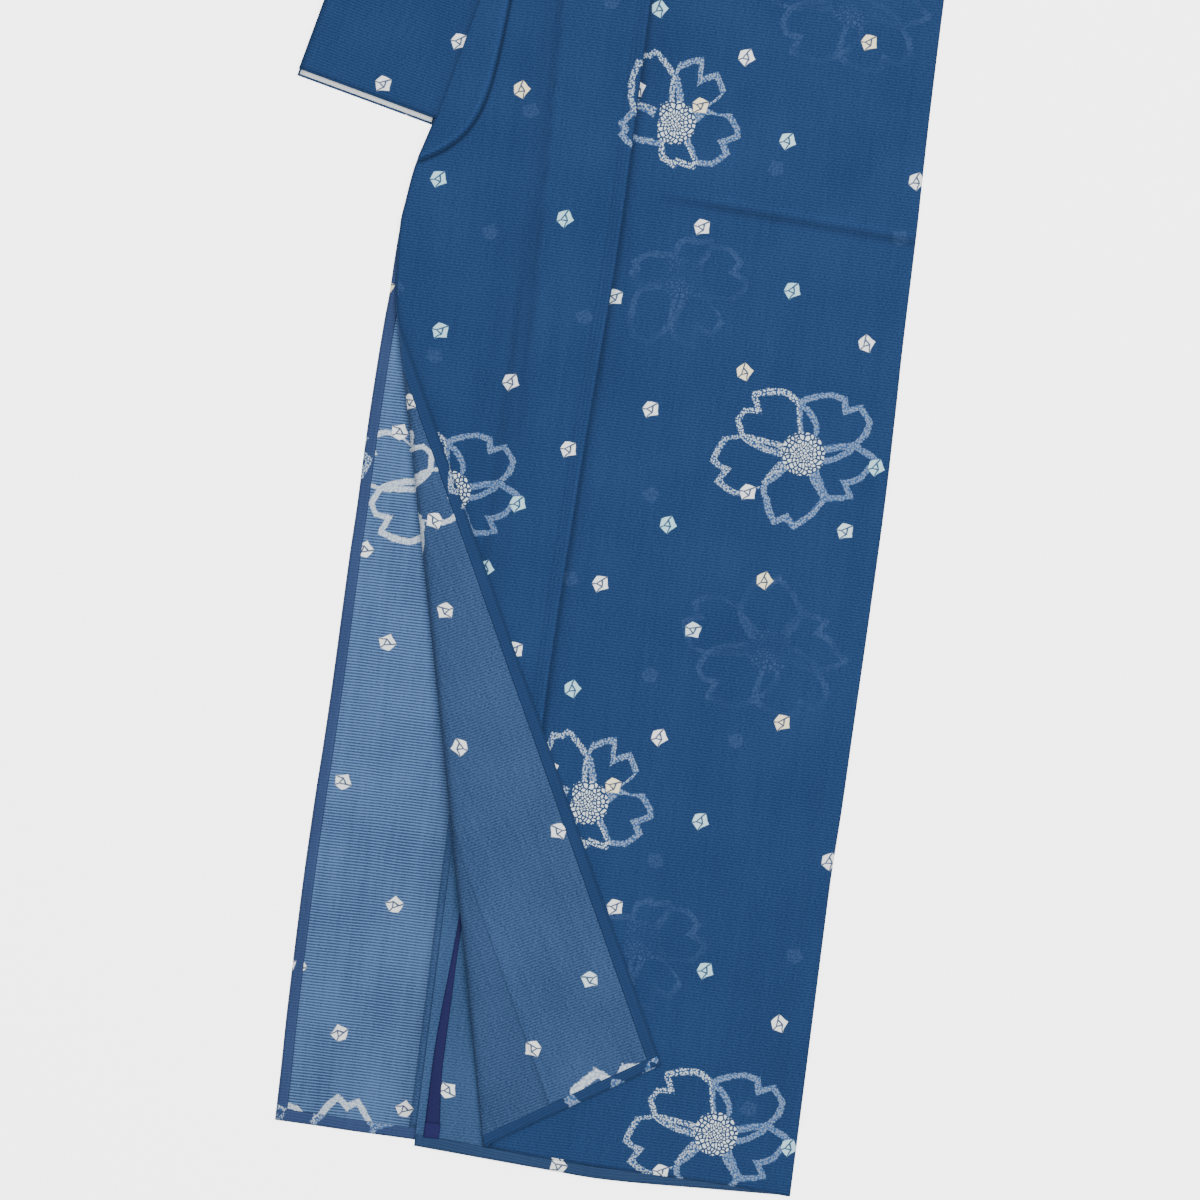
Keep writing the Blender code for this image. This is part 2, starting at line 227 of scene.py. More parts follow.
def collar_point(along, out):
    """A place on the flat collar: along its seam from the foot, and out from the seam."""
    if along <= STRAIGHT:
        across = COLLAR_FOOT[0] - along * math.sin(COLLAR_LEAN) + out * math.cos(COLLAR_LEAN)
        return across, COLLAR_FOOT[1] + along * math.cos(COLLAR_LEAN) + out * math.sin(COLLAR_LEAN)
    angle = math.pi + COLLAR_LEAN - (along - STRAIGHT) / NECK_RADIUS
    radius = NECK_RADIUS - out
    return NECK_ACROSS + radius * math.cos(angle), NECK_UP + radius * math.sin(angle)


def collar_seam(up):
    """How far across the collar's seam is at a height."""
    if up <= STRAIGHT_TOP:
        return COLLAR_FOOT[0] - (up - COLLAR_FOOT[1]) * math.tan(COLLAR_LEAN)
    return NECK_ACROSS - math.sqrt(max(NECK_RADIUS**2 - (up - NECK_UP) ** 2, 0.0))


def collar_reach(along):
    """The collar is open to its full width at its foot and folded in half round the neck."""
    return mix(COLLAR_WIDTH, COLLAR_FOLDED, smooth((along - COLLAR_OPEN) / 300))


print("half the collar in millimetres:", round(HALF_COLLAR))

# %% [markdown]
# ## How the top layer lies
# The top front climbs over the tape on the back seam, and past the folded back it sinks on to
# the floor. Beside the collar's foot it has a tuck with a steep lip. A crease from storage runs
# across the front, and the whole layer is never quite flat. Simulated cloth would settle in
# folds of its own, so the height of every place is a formula here.

# %% Heights of the top layer
TUCK_LIFT = 3.4
TUCK_ACROSS = 332.0
CREASE_UP = 730.1
CREASE_LEAN = 0.052
TAPE_TOP = 1480.0


def tuck_crest(up):
    """How far across the tuck's lip is at a height: it bends outwards at its foot."""
    return TUCK_ACROSS - 0.06 * (up - 800) + 36 * math.exp((748 - up) / 22)


def tuck_rows(up):
    """How much of the tuck there is at a height."""
    return smooth((up - 712) / 22) * (1 - smooth((up - 850) / 150))


def tuck(across, up):
    past = across - tuck_crest(up)
    return TUCK_LIFT * smooth((past + 3.0) / 4.5) * (1 - smooth((past - 2) / 34)) * tuck_rows(up)


def ripple(across, up):
    """Low waves, so that the cloth is never quite flat."""
    slow = math.sin(across / 31 + up / 97 + 0.8) * math.sin(up / 143 - across / 210 + 2.1)
    quick = math.sin(across / 17 - up / 61 + 1.7) * math.sin(up / 49 + across / 87)
    return 0.16 * slow + 0.07 * quick


def off_crease(across, up):
    """How far above the storage crease a place is."""
    return up - (CREASE_UP + CREASE_LEAN * across)


def storage_crease(across, up):
    """The soft fold across the front where the garment was put away."""
    off = off_crease(across, up)
    return (0.8 * bell(off, 0, 3.2) - 0.15) * bell(off, 0, 30) * (1 - smooth((across - 150) / 60))


def upper_rise(across, up):
    """The height of the middle of the top layer."""
    over_tape = smooth((across - 244) / 13) * (1 - smooth((up - TAPE_TOP) / 30))
    past_back = smooth((across - BACK_WIDTH - 5) / 28)
    eased = 1 - 0.65 * smooth((up - 640) / 120)
    to_collar = collar_seam(up) - across if up < STRAIGHT_TOP else 0.0
    sink = 2 * PITCH * past_back * eased * smooth(to_collar / 24)
    climb = (PITCH + 0.1) * over_tape * (1 - past_back)
    fade = smooth((across + 2) / 25) * smooth((up + 10) / 40)
    relief = (ripple(across, up) + storage_crease(across, up)) * fade * (1 - smooth((up - 1500) / 80))
    return UPPER_FRONT + climb - sink + tuck(across, up) + relief


print("height of the top layer over the tape:", round(upper_rise(276, 400), 2))

# %% The turned-back corner
FOLD_FOOT = 234.0
FOLD_LEAN = 0.238
FOLD_TOP = 700.0
FOLD_LENGTH = math.hypot(1, FOLD_LEAN)
FOLD_NORMAL = (1 / FOLD_LENGTH, -FOLD_LEAN / FOLD_LENGTH)
TURNED_CLEAR = PITCH + 0.5


def fold_radius(up):
    return mix(1.0, 3.5, smooth(up / 150))


def past_fold(across, up):
    """How far a flat place is past the start of the fold."""
    return (across - FOLD_FOOT) * FOLD_NORMAL[0] + up * FOLD_NORMAL[1] + math.pi * fold_radius(up) / 2


def fold_start(up):
    """Where the fold starts across at a height, and how much of the cloth is in its roll."""
    turn = math.pi * fold_radius(up) * FOLD_LENGTH
    return FOLD_FOOT + FOLD_LEAN * up - turn / 2, turn


def turned(across, up, lift=0.0):
    """Carries a point of the flat overlap panel round the fold, lifted off its wrong side."""
    radius = fold_radius(up)
    past = past_fold(across, up)
    if past <= 0 or up > FOLD_TOP:
        return across, up, upper_rise(across, up) - lift
    start = (across - past * FOLD_NORMAL[0], up - past * FOLD_NORMAL[1])
    if past < math.pi * radius:
        angle = past / radius
        out = (radius + lift) * math.sin(angle)
        rise = upper_rise(*start) + radius - (radius + lift) * math.cos(angle)
        return start[0] + out * FOLD_NORMAL[0], start[1] + out * FOLD_NORMAL[1], rise
    back = past - math.pi * radius
    place = (start[0] - back * FOLD_NORMAL[0], start[1] - back * FOLD_NORMAL[1])
    held_up = (2 * radius - TURNED_CLEAR) * (1 - smooth(back / 60))
    return place[0], place[1], upper_rise(*place) + TURNED_CLEAR + held_up + lift


print("the fold leans by degrees:", round(math.degrees(math.atan(FOLD_LEAN)), 1))

# %% [markdown]
# ## The print
# The bolt is printed with cherry flowers, drawn as dotted bands round five notched petals, and
# with small white chips of ice between them. The print repeats every 520 mm along the bolt.
# Each motif is drawn once, in its own small plane. Every face of a panel is told which flower
# and which chip lie nearest in the flat cloth, as a texture map that holds the distance to it,
# so the motifs bend and fold with the cloth and no picture is needed. A flower's kind is 0 for
# the open flower and 1 for the tilted one. A chip's tint runs from -1, bluish, to 1, cream.

# %% Places of the motifs: across, up, turn in degrees, a kind or tint, and a size for some
REPEAT = 520.0
FRONT_FLOWERS = [(62, 38, 0, 0), (191, 275, 0, 1)]
OVERLAP_FLOWERS = [(324, 496, 0, 0, 0.95), (192, 789, 0, 1), (355, -57, 31, 0, 1.6), (330, 1050, 20, 0)]
LOWER_FLOWERS = [(330, 499, 0, 0), (346, -27, -12, 0), (300, 1020, 0, 1)]
BACK_FLOWERS = [(138, 176, 0, 1), (68, 407, 0, 0), (170, 678, 0, 1), (67, 900, 0, 0), (190, 1150, 0, 1)]
COLLAR_FLOWERS = [(58, 300, 10, 0), (40, 640, 60, 1), (60, 900, 0, 0)]
SLEEVE_FLOWERS = [(-120, 130, 0, 0), (-255, 330, 40, 1), (-330, 80, 80, 0)]
FRONT_CHIPS = [
    (100, 4, 12, 0), (6, 35, 40, -1), (181, 57, 20, 0), (25, 127, 70, 0),
    (219, 138, 10, -0.3), (86, 160, 30, -1), (160, 199, 15, 0), (3, 254, 50, 0), (104, 272, 35, -0.8),
    (173, 290, 5, 1), (222, 297, 75, 0), (143, 331, 42, 0), (52, 354, 20, 1), (213, 359, 60, -1),
    (128, 415, 0, -0.5), (202, 441, 25, 0), (79, 459, 55, 1), (157, 492, 45, -1), (23, 504, 15, -0.6),
]
SINGLE_CHIPS = [(114, 614, 65, 1), (179, -2, 30, 0)]
OVERLAP_CHIPS = [
    (296, 64, 35, 0), (354, 99, 10, -0.5), (359, 466, 40, 0), (371, 557, 10, 0),
    (264, 192, 45, 0), (369, 213, 30, 0), (320, 298, 60, 0), (260, 383, 15, 0), (344, 399, 20, 0),
    (290, 441, 50, -1), (272, 493, 30, -1), (239, 539, 20, 0), (289, 584, 35, 0), (347, 616, 10, -1),
    (264, 712, 45, -1), (363, 730, 30, -1), (309, 805, 60, 1), (250, 960, 20, 0), (240, 1180, 40, 0),
]
LOWER_CHIPS = [
    (299, 26, 35, 0), (355, 77, 60, 0), (393, 124, 20, 0), (326, 179, 40, 0), (377, 267, 10, 0),
    (357, 376, 25, 0), (383, 444, 30, 0), (333, 473, 50, 0), (368, 536, 15, 0), (385, 644, 30, 1),
    (319, 695, 30, 0), (349, 597, 0, 0), (300, 790, 20, 0), (330, 880, 50, 0), (260, 960, 0, 0),
]
BACK_CHIPS = [
    (178, -9.5, 10, 0),
    (268, 45, 5, 0), (173, 513, 30, 0), (225, 442, 10, 0), (156, 377, 50, 0), (85, 336, 20, 0),
    (134, 238, 0, 0), (40, 60, 60, 0), (200, 120, 35, 0), (20, 180, 15, 0), (60, 560, 40, 1),
    (240, 640, 25, 0), (10, 730, 5, 0), (110, 770, 70, 0), (250, 880, 45, 0), (100, 1010, 20, 0),
]
COLLAR_CHIPS = [
    (46, 11, 20, 0), (3, 61, 30, 0), (90, 95, 40, 0), (30, 140, 10, 1), (75, 190, 60, 0), (20, 235, 30, 0),
    (95, 330, 15, 0), (35, 420, 50, 0), (60, 480, 0, 0), (25, 530, 70, 0),
]
# For a sheet without a print: one motif far below the hem.
NOWHERE = [(0, -900, 0, 0)]
NO_PRINT = (NOWHERE, NOWHERE)


def repeated(places, first, last):
    """The same places again and again along the cloth."""
    return [(a, u + REPEAT * k, *rest) for k in range(first, last) for a, u, *rest in places]


def over_shoulder(places):
    """Places on the back, where the strip runs on past the shoulder."""
    return [(a, 2 * LENGTH - u, turn, *rest) for a, u, turn, *rest in places]


print("places of chips:", len(FRONT_CHIPS + OVERLAP_CHIPS + LOWER_CHIPS + BACK_CHIPS + COLLAR_CHIPS))

# %% [markdown]
# ## Making a sheet
# A panel is a grid of points. Each point is given its place on the garment and its place in the
# flat cloth. The flat places are kept in a texture map, and the second and third maps hold the
# way to the nearest flower and chip. A fourth value, the painted shading, darkens or lightens
# the colour: painted shade beside seams, edges, rolls and tucks, painted highlights on lips and
# crests, and a deeper tint on seam allowances. Solidify then gives the cloth its thickness, with
# the last finish on the far side, and it is applied so that the piece is a mesh.


# %% Maps to the motifs
def nearest(places):
    tree = kdtree.KDTree(len(places))
    for k, motif in enumerate(places):
        tree.insert((motif[0], motif[1], 0.0), k)
    tree.balance()
    return tree


def local(place, motif, seen_face):
    """The way from a motif to a flat place: x to the right, y up, turned and mirrored with it."""
    turn = math.radians(motif[2])
    size = motif[4] if len(motif) > 4 else 1.0
    x = (motif[0] - place[0]) / size
    y = (place[1] - motif[1]) / size
    turned_y = y * math.cos(turn) - x * math.sin(turn)
    return x * math.cos(turn) + y * math.sin(turn), turned_y if seen_face else -turned_y


def mark(form, flat, flowers, chips, names, seen_face):
    """Adds the maps that lead to the nearest flower and chip, and each one's kind."""
    for name, places in zip(names, (flowers, chips)):
        tree = nearest(places)
        way = form.loops.layers.uv.new(name)
        kind = form.faces.layers.float.new(name + "_kind")
        for face in form.faces:
            middle = [sum(flat[v.index][k] for v in face.verts) / len(face.verts) for k in (0, 1)]
            motif = places[tree.find((*middle, 0.0))[1]]
            face[kind] = motif[3]
            for loop in face.loops:
                loop[way].uv = local(flat[loop.vert.index], motif, seen_face)


# %% The sheet maker
def set_grid(columns, rows, place):
    """A grid whose points are set in their places, with the flat place and the painted shading of each."""
    form = bmesh.new()
    bmesh.ops.create_grid(form, x_segments=columns, y_segments=rows, size=0.5)
    form.verts.ensure_lookup_table()
    form.verts.index_update()
    flat = {}
    tone = form.verts.layers.float.new("tone")
    probe = None
    for vertex in form.verts:
        column = round((vertex.co.x + 0.5) * columns)
        row = round((vertex.co.y + 0.5) * rows)
        across, up, rise, *cloth = place(column, row)
        vertex.co = spot(across, up, rise)
        flat[vertex.index] = cloth[:2]
        vertex[tone] = cloth[2] if len(cloth) > 2 else 0.0
        if (column, row) == (columns // 3, rows // 3):
            probe = vertex
    return form, flat, probe


def thicken(piece, thick):
    """Gives a sheet its thickness, with its last finish on the far side."""
    wall = piece.modifiers.new("thickness", "SOLIDIFY")
    wall.thickness = thick * MM
    wall.offset = 0.0
    wall.use_quality_normals = True
    wall.material_offset = len(piece.data.materials) - 1
    graph = bpy.context.evaluated_depsgraph_get()
    solid = bpy.data.meshes.new_from_object(piece.evaluated_get(graph))
    piece.modifiers.clear()
    piece.data = solid
    solid.name = piece.name
    solid.shade_smooth()


def sheet(name, columns, rows, place, finishes, print_of, below=None, thick=CLOTH, face_up=True):
    """Makes a panel: place(column, row) gives across, up, rise, flat across, flat up and painted shading."""
    form, flat, probe = set_grid(columns, rows, place)
    cloth_map = form.loops.layers.uv.new("cloth")
    for face in form.faces:
        for loop in face.loops:
            loop[cloth_map].uv = flat[loop.vert.index]
    mark(form, flat, *print_of, ("flower", "chip"), face_up)
    if below:
        mark(form, flat, *below, ("under_flower", "under_chip"), False)
    form.normal_update()
    if (probe.link_faces[0].normal.z > 0) != face_up:
        bmesh.ops.reverse_faces(form, faces=form.faces)
    mesh = bpy.data.meshes.new(name)
    form.to_mesh(mesh)
    form.free()
    for finish in finishes:
        mesh.materials.append(finish)
    piece = added(name, mesh)
    thicken(piece, thick)
    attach(piece, "root")
    print(name, len(piece.data.polygons), "faces")
    return piece


# %% [markdown]
# ## Hems
# The raw edges are turned to the wrong side twice and sewn down, which leaves a darker band of
# several layers along each edge. A hem could be painted on the panel, but its roll and its step
# catch the light, so it is its own narrow sheet: it starts on the wrong side, rolls round the
# edge and ends just on the face. Its print is that of the cloth beyond the edge. Each row of its
# profile holds a share of the hem's width, an inset, a lift off the wrong side and a painted
# shading: painted shade on the roll and along the inner edge, and faint painted highlights.

# %% The hem maker
HEM_THICK = 0.2
HEM_PROFILE = [
    (1.0, 0.2, 0.25, -0.38), (1.0, 0.0, 0.55, -0.30), (1.0, -0.7, 0.70, 0.10),
    (0.72, 0.0, 0.70, 0.0), (0.38, 0.0, 0.68, 0.0), (0.0, 2.0, 0.66, 0.05),
    (0.0, 1.1, 0.62, -0.22), (0.0, 0.4, 0.5, -0.10), (0.0, 0.0, 0.3, -0.15),
    (0.0, -0.22, 0.0, -0.25), (0.0, 0.15, -0.3, -0.2), (0.0, 1.3, -0.36, -0.1),
]


def hem(name, width, edge, surface, finishes, print_of, face_up, shown=HEM_PROFILE):
    """A hem along edge, a list of flat places with the way inwards, laid on the wrong side."""

    def place(column, row):
        share, inset, lift, tone = shown[column]
        across, up, way = edge[row]
        inward = share * width + inset
        x, y, z = surface(across + way[0] * inward, up + way[1] * inward, lift)
        return x, y, z, across - way[0] * inward, up - way[1] * inward, tone

    return sheet(
        name, len(shown) - 1, len(edge) - 1, place, finishes, print_of, thick=HEM_THICK, face_up=face_up
    )


def run_of(points):
    """Adds to each place of an edge the way inwards, a quarter turn from the edge's own way."""
    run = []
    for k, here in enumerate(points):
        before, after = points[max(k - 1, 0)], points[min(k + 1, len(points) - 1)]
        way = (after[0] - before[0], after[1] - before[1])
        length = math.hypot(*way)
        run.append((*here, (-way[1] / length, way[0] / length)))
    return run


# %% [markdown]
# ## Writing a finish
# A finish is a formula for colour and relief. It could be wired by hand in the node editor, but
# a formula is easier to read and to change. One small class holds a node's output and adds a
# Math node for every operator, and one method of the finish adds all other nodes.


# %% Shader arithmetic
class Wire:
    """A node's output that can be used in Python arithmetic."""

    def __init__(self, finish, socket):
        self.finish = finish
        self.socket = socket

    def maths(self, operation, *others):
        return self.finish.add("ShaderNodeMath", {"operation": operation}, [self, *others])

    def __add__(self, other):
        return self.maths("ADD", other)

    def __sub__(self, other):
        return self.maths("SUBTRACT", other)

    def __mul__(self, other):
        return self.maths("MULTIPLY", other)

    def __truediv__(self, other):
        return self.maths("DIVIDE", other)

    def __lt__(self, other):
        return self.maths("LESS_THAN", other)

    def __gt__(self, other):
        return self.maths("GREATER_THAN", other)

    def __abs__(self):
        return self.maths("ABSOLUTE")

    def __rsub__(self, other):
        return self.finish.add("ShaderNodeMath", {"operation": "SUBTRACT"}, [other, self])

    def __rtruediv__(self, other):
        return self.finish.add("ShaderNodeMath", {"operation": "DIVIDE"}, [other, self])

    __radd__ = __add__
    __rmul__ = __mul__

    def held(self, low=0.0, high=1.0):
        return self.maths("MAXIMUM", low).maths("MINIMUM", high)

    def step(self, start, end):
        """A soft step from 0 at start to 1 at end."""
        settings = {"interpolation_type": "SMOOTHSTEP"}
        return self.finish.add("ShaderNodeMapRange", settings, [self, start, end, 0.0, 1.0])


class Finish:
    """A material whose nodes are added by formula."""

    def __init__(self, name, roughness, **constants):
        self.material = bpy.data.materials.new(name)
        self.material.use_nodes = True
        self.tree = self.material.node_tree
        self.shader = self.tree.nodes["Principled BSDF"]
        self.shader.inputs["Roughness"].default_value = roughness
        for socket, value in constants.items():
            self.shader.inputs[socket.replace("_", " ")].default_value = value

    def add(self, kind, settings, sockets, output=0):
        """Adds a node: its settings first, then the values or links of its sockets."""
        node = self.tree.nodes.new(kind)
        for setting, value in settings.items():
            if setting == "points":
                self.set_curve(node, value)
            elif setting == "stops":
                self.set_stops(node, value)
            else:
                setattr(node, setting, value)
        pairs = sockets.items() if isinstance(sockets, dict) else enumerate(sockets)
        for socket, value in pairs:
            if isinstance(value, Wire):
                self.tree.links.new(value.socket, node.inputs[socket])
            else:
                node.inputs[socket].default_value = value
        return Wire(self, node.outputs[output])

    def set_curve(self, node, points):
        """Lays a curve node's line straight from point to point."""
        line = node.mapping.curves[0]
        line.points[0].location = points[0]
        line.points[1].location = points[-1]
        for place, value in points[1:-1]:
            line.points.new(place, value)
        for point in line.points:
            point.handle_type = "VECTOR"
        node.mapping.update()

    def set_stops(self, node, stops):
        """Gives a ramp its stops, each held until the next."""
        ramp = node.color_ramp
        ramp.interpolation = "CONSTANT"
        while len(ramp.elements) < len(stops):
            ramp.elements.new(0.5)
        for element, (place, values) in zip(ramp.elements, stops):
            element.position = place
            element.color = values
            element.alpha = values[3]

    def split(self, wire):
        """The three numbers of a vector or colour."""
        x = self.add("ShaderNodeSeparateXYZ", {}, [wire])
        outputs = x.socket.node.outputs
        return x, Wire(self, outputs[1]), Wire(self, outputs[2])

    def map(self, name):
        return self.add("ShaderNodeUVMap", {"uv_map": name}, [])

    def noise(self, vector, scale, detail=1.0, output=0):
        sockets = {"Vector": vector, "Scale": scale, "Detail": detail}
        return self.add("ShaderNodeTexNoise", {"noise_dimensions": "2D"}, sockets, output)

    def cells(self, vector, scale, feature="F1"):
        settings = {"voronoi_dimensions": "2D", "feature": feature}
        return self.add("ShaderNodeTexVoronoi", settings, {"Vector": vector, "Scale": scale})

    def vectors(self, operation, first, second):
        return self.add("ShaderNodeVectorMath", {"operation": operation}, [first, second])

    def scaled(self, wire, factor):
        return self.add("ShaderNodeVectorMath", {"operation": "SCALE"}, {0: wire, 3: factor})

    def stretched(self, wire, scale):
        return self.add("ShaderNodeMapping", {}, {"Vector": wire, "Scale": scale})

    def shaken(self, way, scale, reach):
        """A map whose places are moved a little, so that straight lines look drawn by hand."""
        push = self.vectors("SUBTRACT", self.noise(way, scale, output=1), (0.5, 0.5, 0.5))
        return self.vectors("ADD", way, self.scaled(push, reach))

    def blend(self, share, first, second):
        """A colour between two colours."""
        return self.add("ShaderNodeMix", {"data_type": "RGBA"}, {0: share, 6: first, 7: second}, 2)

    def value(self, name):
        return self.add("ShaderNodeAttribute", {"attribute_name": name}, [], 2)

    def colour(self, wire):
        self.tree.links.new(wire.socket, self.shader.inputs["Base Color"])

    def relief(self, wire, depth):
        bump = self.add("ShaderNodeBump", {}, {"Height": wire, "Distance": depth})
        self.tree.links.new(bump.socket, self.shader.inputs["Normal"])


def rgb(red, green, blue):
    """A dye's colour, from 0 to 255 as on a screen."""
    linear = [((c / 255 + 0.055) / 1.055) ** 2.4 if c > 10 else c / 255 / 12.92 for c in (red, green, blue)]
    return (*linear, 1.0)


# %% [markdown]
# ## Drawing the motifs
# A flower is drawn by direction and distance from its middle. One curve holds how far the
# outline reaches in every direction, with two lobes and a notch for each of the five petals. Where
# two petals meet, two strokes run inwards to the disc. The band is where one of these lines is
# close. The places are shaken a little before, so that the lines look drawn by hand. The middle
# is a disc of small white cells.

# %% Outlines of the two flowers: direction in degrees and reach in millimetres
OPEN_OUTLINE = [
    (17.5, 40), (25, 50), (32.5, 55.5), (46, 56), (52, 45.5), (60, 52.5), (72.5, 49),
    (90, 42.5), (101, 39), (112.5, 47.5), (122.5, 52.5), (136, 58), (142.5, 47.5), (150, 54.5),
    (159, 55.5), (171, 47.5), (176, 60), (191, 68), (199, 59), (205, 67.5), (215, 61),
    (222, 52), (225, 38), (240, 45), (254, 55.5), (262.5, 49), (270, 55), (285, 46),
    (301, 37.5), (307, 38), (325, 47.5), (332.5, 38), (345, 47.5), (355, 51), (360, 57.5),
    (365, 52.5), (372.5, 42.5), (377.5, 40),
]
TILTED_OUTLINE = [
    (27.5, 25), (33, 27), (39, 44), (55, 48), (65.5, 36.5), (74, 51.5), (91, 43), (95, 34.5),
    (102.5, 41.5), (112, 55), (118, 54), (123, 57), (136, 48), (150, 38), (161, 31), (179, 38),
    (186, 35), (192, 38), (210, 31), (225, 23), (246, 18.5), (260, 27), (276, 32), (282, 29),
    (301, 36), (306, 34), (320, 42), (337, 46), (345, 38.5), (355.5, 49.5), (362.5, 48),
    (375, 41), (380, 29), (387.5, 25),
]
# Where two petals meet: direction, reach, and how far each one's inner side swings round.
OPEN_MEETINGS = [
    (17.5, 40, 28, 1), (101, 39, 41, 2), (171, 47, 4, 15), (225, 38, 13, 2), (304, 38, 4, 7),
]
TILTED_MEETINGS = [
    (27.5, 25, 12, 8), (95, 34.5, 13, 9), (161, 31, 5, 3), (246, 18.5, 0, 0), (306, 34, -4, 6),
]
# How white each petal's band is.
OPEN_WHITES = [0.15, 0.75, 0.55, 0.2, 0.1]
TILTED_WHITES = [0.3, 0.6, 0.25, 0.9, 0.2]
LONGEST_PETAL = 80.0
WIDEST_SWING = 90.0
NO_SWING = 0.1
LEAST_SLANT = 0.5
HALF_BAND = 2.2
DISC = 16.6
DISC_CUT = -11.5
DISC_CELLS = 24
FAR_OFF = 900.0


def outline_curve(outline):
    """The outline as points of a curve, with the direction counted from its first corner."""
    first = outline[0][0]
    return [((angle - first) / 360, reach / LONGEST_PETAL) for angle, reach in outline]


def slant_curve(outline):
    """How much shorter the straight way to each side of the outline is than the way outwards."""
    first = outline[0][0]
    points = []
    for (start, near), (end, far) in zip(outline, outline[1:]):
        slope = (far - near) / math.radians(end - start) / ((near + far) / 2)
        share = max(1 / math.hypot(1, slope), LEAST_SLANT)
        edge = min((end - start) / 4, 0.6)
        points += [((start + edge - first) / 360, share), ((end - edge - first) / 360, share)]
    return [(0.0, points[0][1])] + points + [(1.0, points[-1][1])]


def meeting_stops(meetings):
    """The nearest meeting of two petals for each direction, as the stops of a ramp."""
    first = meetings[0][0]
    around = meetings + [(first + 360, *meetings[0][1:])]
    stops = []
    for k, (angle, reach, less, more) in enumerate(around):
        start = 0.0 if k == 0 else ((around[k - 1][0] + angle) / 2 - first) / 360
        swings = (less / WIDEST_SWING + NO_SWING, more / WIDEST_SWING + NO_SWING)
        stops.append((start, ((angle - first) / 360, reach / LONGEST_PETAL, *swings)))
    return stops


def white_stops(meetings, whites):
    """The whiteness of the petal that starts at each meeting, as the stops of a ramp."""
    first = meetings[0][0]
    around = zip(meetings, whites)
    return [((angle - first) / 360, (white, white, white, 1.0)) for (angle, *_), white in around]


# %% The lines and the disc of a flower
FLOWER_KINDS = [
    (OPEN_OUTLINE, OPEN_MEETINGS, OPEN_WHITES),
    (TILTED_OUTLINE, TILTED_MEETINGS, TILTED_WHITES),
]


def flower_lines(finish, turn, kind):
    """In a direction: the outline's reach and slant, the nearest meeting, and the whiteness."""
    found = []
    for outline, meetings, whites in FLOWER_KINDS:
        place = (turn - outline[0][0] / 360).maths("FRACT")
        reach = finish.add("ShaderNodeFloatCurve", {"points": outline_curve(outline)}, {"Value": place})
        slant = finish.add("ShaderNodeFloatCurve", {"points": slant_curve(outline)}, {"Value": place})
        meeting = finish.add("ShaderNodeValToRGB", {"stops": meeting_stops(meetings)}, [place])
        angle, meets_at, less = finish.split(meeting)
        more = Wire(finish, meeting.socket.node.outputs["Alpha"])
        white = finish.add("ShaderNodeValToRGB", {"stops": white_stops(meetings, whites)}, [place])
        found.append([reach, slant, place - angle, meets_at, less, more, white])
    return [a + (b - a) * kind for a, b in zip(*found)]


def off_lines(distance, reach, slant, aside, meets_at, swings):
    """The distance to the nearest line: the outline, or the inner side of one of two petals."""
    off = abs(distance - reach * LONGEST_PETAL) * slant
    meets_at = meets_at * LONGEST_PETAL
    inward = (meets_at - distance) / (meets_at - DISC)
    for swing, side in zip(swings, (1, -1)):
        swung = (swing - NO_SWING) * (math.radians(WIDEST_SWING) * side)
        lean = swung * distance / (meets_at - DISC)
        inner_side = abs(aside * math.tau + swung * inward) * distance / (lean * lean + 1).maths("SQRT")
        off = off.maths("MINIMUM", inner_side + (0 - inward).held() * FAR_OFF)
    return off


def flower_disc(finish, way, turn, distance, ragged):
    """Rays of small white cells round a grainy middle."""
    around = finish.add("ShaderNodeCombineXYZ", {}, [turn * DISC_CELLS, distance * 0.3, 0.0])
    rays = finish.cells(around, 1.0, "DISTANCE_TO_EDGE")
    grains = finish.cells(finish.shaken(way, 0.3, 1.5), 0.44, "DISTANCE_TO_EDGE")
    inner = 1 - distance.step(5.0, 7.0)
    edge = grains * inner + rays * (1 - inner)
    return (1 - (distance + ragged).step(DISC, DISC + 0.8)) * edge.step(0.1, 0.28)


# %% A flower
def draw_flower(finish, name):
    """Masks of a flower's bands and disc, the whiteness of its bands and its own map."""
    way = finish.map(name)
    x, y, _ = finish.split(finish.shaken(way, 0.11, 2.2))
    kind = finish.value(name + "_kind")
    distance = (x * x + y * y).maths("SQRT")
    turn = y.maths("ARCTAN2", x) / math.tau + 1.0
    reach, slant, aside, meets_at, *swings, white = flower_lines(finish, turn, kind)
    ragged = finish.cells(way, 0.75) * 1.1
    off = off_lines(distance, reach, slant, aside, meets_at, swings)
    band = (1 - (off + ragged).step(HALF_BAND + 0.1, HALF_BAND + 0.9)) * distance.step(DISC - 1, DISC)
    disc = flower_disc(finish, way, turn, distance, ragged) * (1 - kind * (x < DISC_CUT))
    return band, disc, white, way


# %% A chip
CHIP_CORNERS = [(-5.6, 2.2), (-0.4, 5.9), (5.9, 3.4), (4.6, -4.6), (-4.2, -5.4)]
CHIP_MIDDLE = [(-2.6, 0.6), (2.4, 2.0), (0.5, -3.0)]
CHIP_ENDS = [(-5.4, 2.0), (5.6, 3.2), (-4.0, -5.2)]


def sides(corners):
    """Each corner with the next one, all the way round."""
    return list(zip(corners, corners[1:] + corners[:1]))


def stroke(x, y, start, end):
    """The distance to a straight stroke."""
    run = (end[0] - start[0], end[1] - start[1])
    past_x = x - start[0]
    past_y = y - start[1]
    share = ((past_x * run[0] + past_y * run[1]) / (run[0] * run[0] + run[1] * run[1])).held()
    off_x = past_x - share * run[0]
    off_y = past_y - share * run[1]
    return (off_x * off_x + off_y * off_y).maths("SQRT")


def joined(wires, operation):
    """One value from several: the least or the greatest."""
    found = wires[0]
    for other in wires[1:]:
        found = found.maths(operation, other)
    return found


